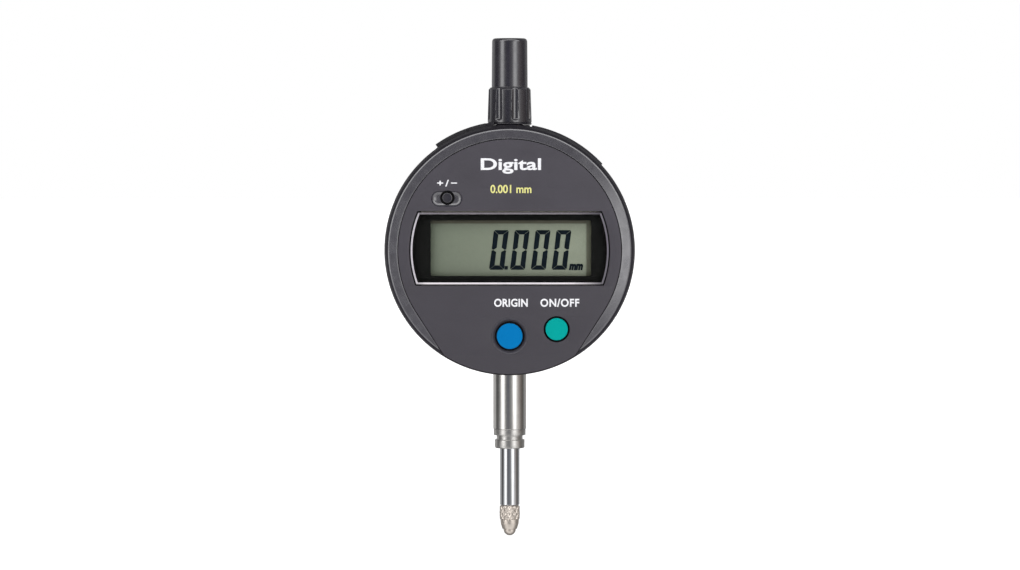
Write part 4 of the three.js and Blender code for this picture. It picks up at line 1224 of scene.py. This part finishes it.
def contact_ball():
    """The tip: a ball with the small worn flat that it rests on."""
    radius = BALL.size.z / 2
    centre = BALL.high.z - radius
    flat = 0.3
    bottom = math.asin(flat / radius)
    angles = [bottom + (math.pi - bottom) * i / 40 for i in range(40)]
    arc = [(radius * math.sin(a), centre - radius * math.cos(a)) for a in angles]
    return lathe([(0, arc[0][1]), *arc, (0, centre + radius)], steps=96)


def spring_path():
    """Points along the coil, from the hook on the case's pin to the hook on the carrier's."""
    box = NodeBox("return_spring")
    pin, moving = NodeBox("spring_pin_fixed").centre, NodeBox("spring_pin_moving").centre
    x, y = pin.x, moving.y
    coil, hook, turns, per_turn = 1.6, 1.1, 16, 20
    low, high = pin.z + hook + 0.5, moving.z - hook - 0.5
    points = []
    for i in range(16):
        angle = math.pi * 2 - math.pi * 1.5 * i / 15
        points.append(Vector((x + hook * math.cos(angle + math.pi), y, pin.z + hook * math.sin(angle))))
    for i in range(turns * per_turn + 1):
        angle = 2 * math.pi * i / per_turn
        share = i / (turns * per_turn)
        grow = min(1, share * turns * 1.5, (1 - share) * turns * 1.5)
        at = coil * grow
        z = low + (high - low) * share
        points.append(Vector((x + at * math.cos(angle), y + at * math.sin(angle), z)))
    for i in range(16):
        angle = -math.pi / 2 + math.pi * 1.5 * i / 15
        points.append(Vector((x, y + hook * math.cos(angle), moving.z + hook * math.sin(angle))))
    lowest = box.low.z + 0.2
    return [Vector((p.x, p.y, max(p.z, lowest))) for p in points]


def spring_wire():
    curve = bpy.data.curves.new("wire", "CURVE")
    curve.dimensions = "3D"
    curve.bevel_depth = 0.2
    curve.bevel_resolution = 3
    curve.use_fill_caps = True
    points = spring_path()
    spline = curve.splines.new("POLY")
    spline.points.add(len(points) - 1)
    for point, at in zip(spline.points, points):
        point.co = (*at, 1)
    return evaluated(linked("wire", curve))


def build_spindle():
    body = "spindle_unit"
    piece("spindle_rod", spindle_rod(), "bright_steel", body, "bright_steel", "spindle")
    piece("contact_point_tip", contact_point(), "warm_steel dull_steel", body, "warm_steel",
          "contact_point")
    piece("contact_ball_tip", contact_ball(), "warm_steel", body, "carbide", "contact_ball")
    spring = piece("coil_spring", spring_wire(), "bright_steel", None, "bright_steel",
                   "return_spring", sharp=60)
    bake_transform(spring)


# ---- CAD pieces that show as they are ----

CARRIED = {
    "aluminium": "scale_carrier",
    "black_plastic": "origin_switch power_switch sign_switch data_connector",
    "black_rubber": "bumper zebra_strip_lower zebra_strip_upper",
    "brass": "upper_stem_bush stop_ring battery_contact_positive battery_contact_negative",
    "bright_steel": "spring_pin_fixed spring_pin_moving guide_pin",
    "circuit_board": "main_board detector_board",
    "display_glass": "main_scale",
    "flex_film": "flex_cable",
    "ivory_plastic": "lcd_holder board_connector origin_plunger power_plunger sign_plunger",
    "satin_steel": "guide_rail",
    "screw_steel": "case_screw_1 case_screw_2 case_screw_3 case_screw_4 board_screw_1 board_screw_2 "
                   "board_screw_3 detector_screw_1 detector_screw_2 carrier_screw",
}


def dress_cad_nodes():
    for look, nodes in CARRIED.items():
        for node in nodes.split():
            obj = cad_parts[node]
            obj.data.materials.clear()
            obj.data.materials.append(MATERIALS[look])
            obj.data.shade_smooth()
            obj.data.set_sharp_from_angle(angle=math.radians(SHARP))
            bevel = obj.modifiers.new("edges", "BEVEL")
            bevel.width = 0.06 * MM
            bevel.segments = 2
            bevel.limit_method = "ANGLE"
            bevel.angle_limit = math.radians(50)


# ---- room, light and camera ----


def studio_world():
    """Soft boxes to the right and left of the camera and a ring of light above it; the rest is dim.

    The camera itself sees plain white. Directions: azimuth 0 is towards the camera, and the ring
    and the dim room above are told apart by how far they lie from the camera's direction.
    """
    world = bpy.data.worlds.new("studio")
    bpy.context.scene.world = world
    world.use_nodes = True
    world.node_tree.nodes.clear()
    graph = Graph(world.node_tree)

    def ramp(value, stops):
        """Runs a value through a colour ramp with (position, grey or colour) stops."""
        made = graph.add("ShaderNodeValToRGB", {"Fac": value})
        elements = made.color_ramp.elements
        while len(elements) < len(stops):
            elements.new(0.5)
        for element, (position, level) in zip(elements, stops):
            element.position = position
            element.color = level if isinstance(level, tuple) else (level, level, level, 1)
        return made.outputs["Color"]

    def at(degrees):
        return 0.5 + degrees / 360

    def off_axis(degrees):
        return 0.5 + math.cos(math.radians(degrees)) / 2

    def up(degrees):
        return 0.5 + math.sin(math.radians(degrees)) / 2

    direction = graph.add("ShaderNodeTexCoord").outputs["Generated"]
    x, y, z = graph.add("ShaderNodeSeparateXYZ", {"Vector": direction}).outputs
    forward = graph.add("ShaderNodeMath", {0: y, 1: -1}, operation="MULTIPLY").outputs["Value"]
    azimuth = graph.add("ShaderNodeMath", {0: x, 1: forward}, operation="ARCTAN2").outputs["Value"]
    facing = graph.ranged(forward, -1, 1)
    height = graph.ranged(z, -1, 1)

    around = ramp(graph.ranged(azimuth, -math.pi, math.pi), [
        (at(-180), 0.36), (at(-140), 0.27), (at(-123), 0.38), (at(-110), 0.1), (at(-97), 0.05),
        (at(-84), 0.06), (at(-70), 0.18), (at(-62), 0.45), (at(-56), SOFT_BOX), (at(-42), SOFT_BOX),
        (at(-35), 0.32), (at(-27), 0.12), (at(-8), DARK_FRONT), (at(4), 0.15), (at(15), 0.24),
        (at(22), 0.5), (at(27), SOFT_BOX), (at(41), SOFT_BOX), (at(50), 0.52),
        (at(60), (0.27, 0.25, 0.24, 1)), (at(82), (0.12, 0.106, 0.097, 1)),
        (at(102), (0.06, 0.055, 0.05, 1)), (at(114), 0.1), (at(126), 0.22), (at(150), 0.18),
        (at(180), 0.36),
    ])
    above = ramp(facing, [
        (0, 0.18), (off_axis(72), 0.1), (off_axis(66), RING), (off_axis(47), RING),
        (off_axis(40), 0.13), (1, 0.13),
    ])
    below = ramp(facing, [
        (0, 0.12), (off_axis(88), 0.14), (off_axis(70), 0.55), (off_axis(38), 0.55),
        (off_axis(31), 0.13), (1, 0.13),
    ])
    with_ceiling = graph.blend(ramp(height, [(up(9), 0.0), (up(18), 1.0)]), around, above)
    whole = graph.blend(ramp(height, [(up(-19), 1.0), (up(-10), 0.0)]), with_ceiling, below)
    studio = graph.add("ShaderNodeBackground", {"Color": whole, "Strength": 1.9})
    white = graph.add("ShaderNodeBackground", {"Color": (1, 1, 1, 1)})
    seen = graph.add("ShaderNodeLightPath").outputs["Is Camera Ray"]
    shown = {0: seen, 1: studio.outputs["Background"], 2: white.outputs["Background"]}
    mix = graph.add("ShaderNodeMixShader", shown)
    graph.add("ShaderNodeOutputWorld", {"Surface": mix.outputs["Shader"]})


def pale_floor():
    """A white sweep that shows a faint contact shadow."""
    half_side = 4.0
    bm = bmesh.new()
    bmesh.ops.create_grid(bm, x_segments=1, y_segments=1, size=half_side,
                          matrix=Matrix.Translation((0, 0, CAD_BOX[0][2] - 0.0005)))
    floor = linked("floor", to_mesh(bm))
    finish = Finish("floor", (0.9, 0.9, 0.9, 1), 0.9)
    finish.set("Emission Color", (1, 1, 1, 1))
    finish.set("Emission Strength", 0.7)
    finish.mottle(finish.noise(0.01, detail=2), (0.88, 0.88, 0.88, 1))
    floor.data.materials.append(MATERIALS["floor"])
    floor.visible_glossy = False


def add_camera():
    """In front and a little above the middle, tilted down at the middle of the picture."""
    camera = bpy.data.cameras.new("camera")
    distance, height, aim, aside = 930, 31, -8.7, 0.08
    camera.sensor_width = 36
    camera.lens = 135.5
    camera.clip_start = 0.01
    obj = linked("camera", camera)
    obj.location = TO_WORLD @ Vector((aside, -distance, height))
    obj.rotation_euler = (math.pi / 2 + math.atan2(aim - height, distance), 0, 0)
    bpy.context.scene.camera = obj


def main():
    mix_materials()
    build_front()
    build_labels()
    build_buttons()
    build_rear()
    build_bays()
    build_stem()
    build_spindle()
    dress_cad_nodes()
    studio_world()
    pale_floor()
    add_camera()
    bpy.context.scene.view_settings.view_transform = "Standard"


main()
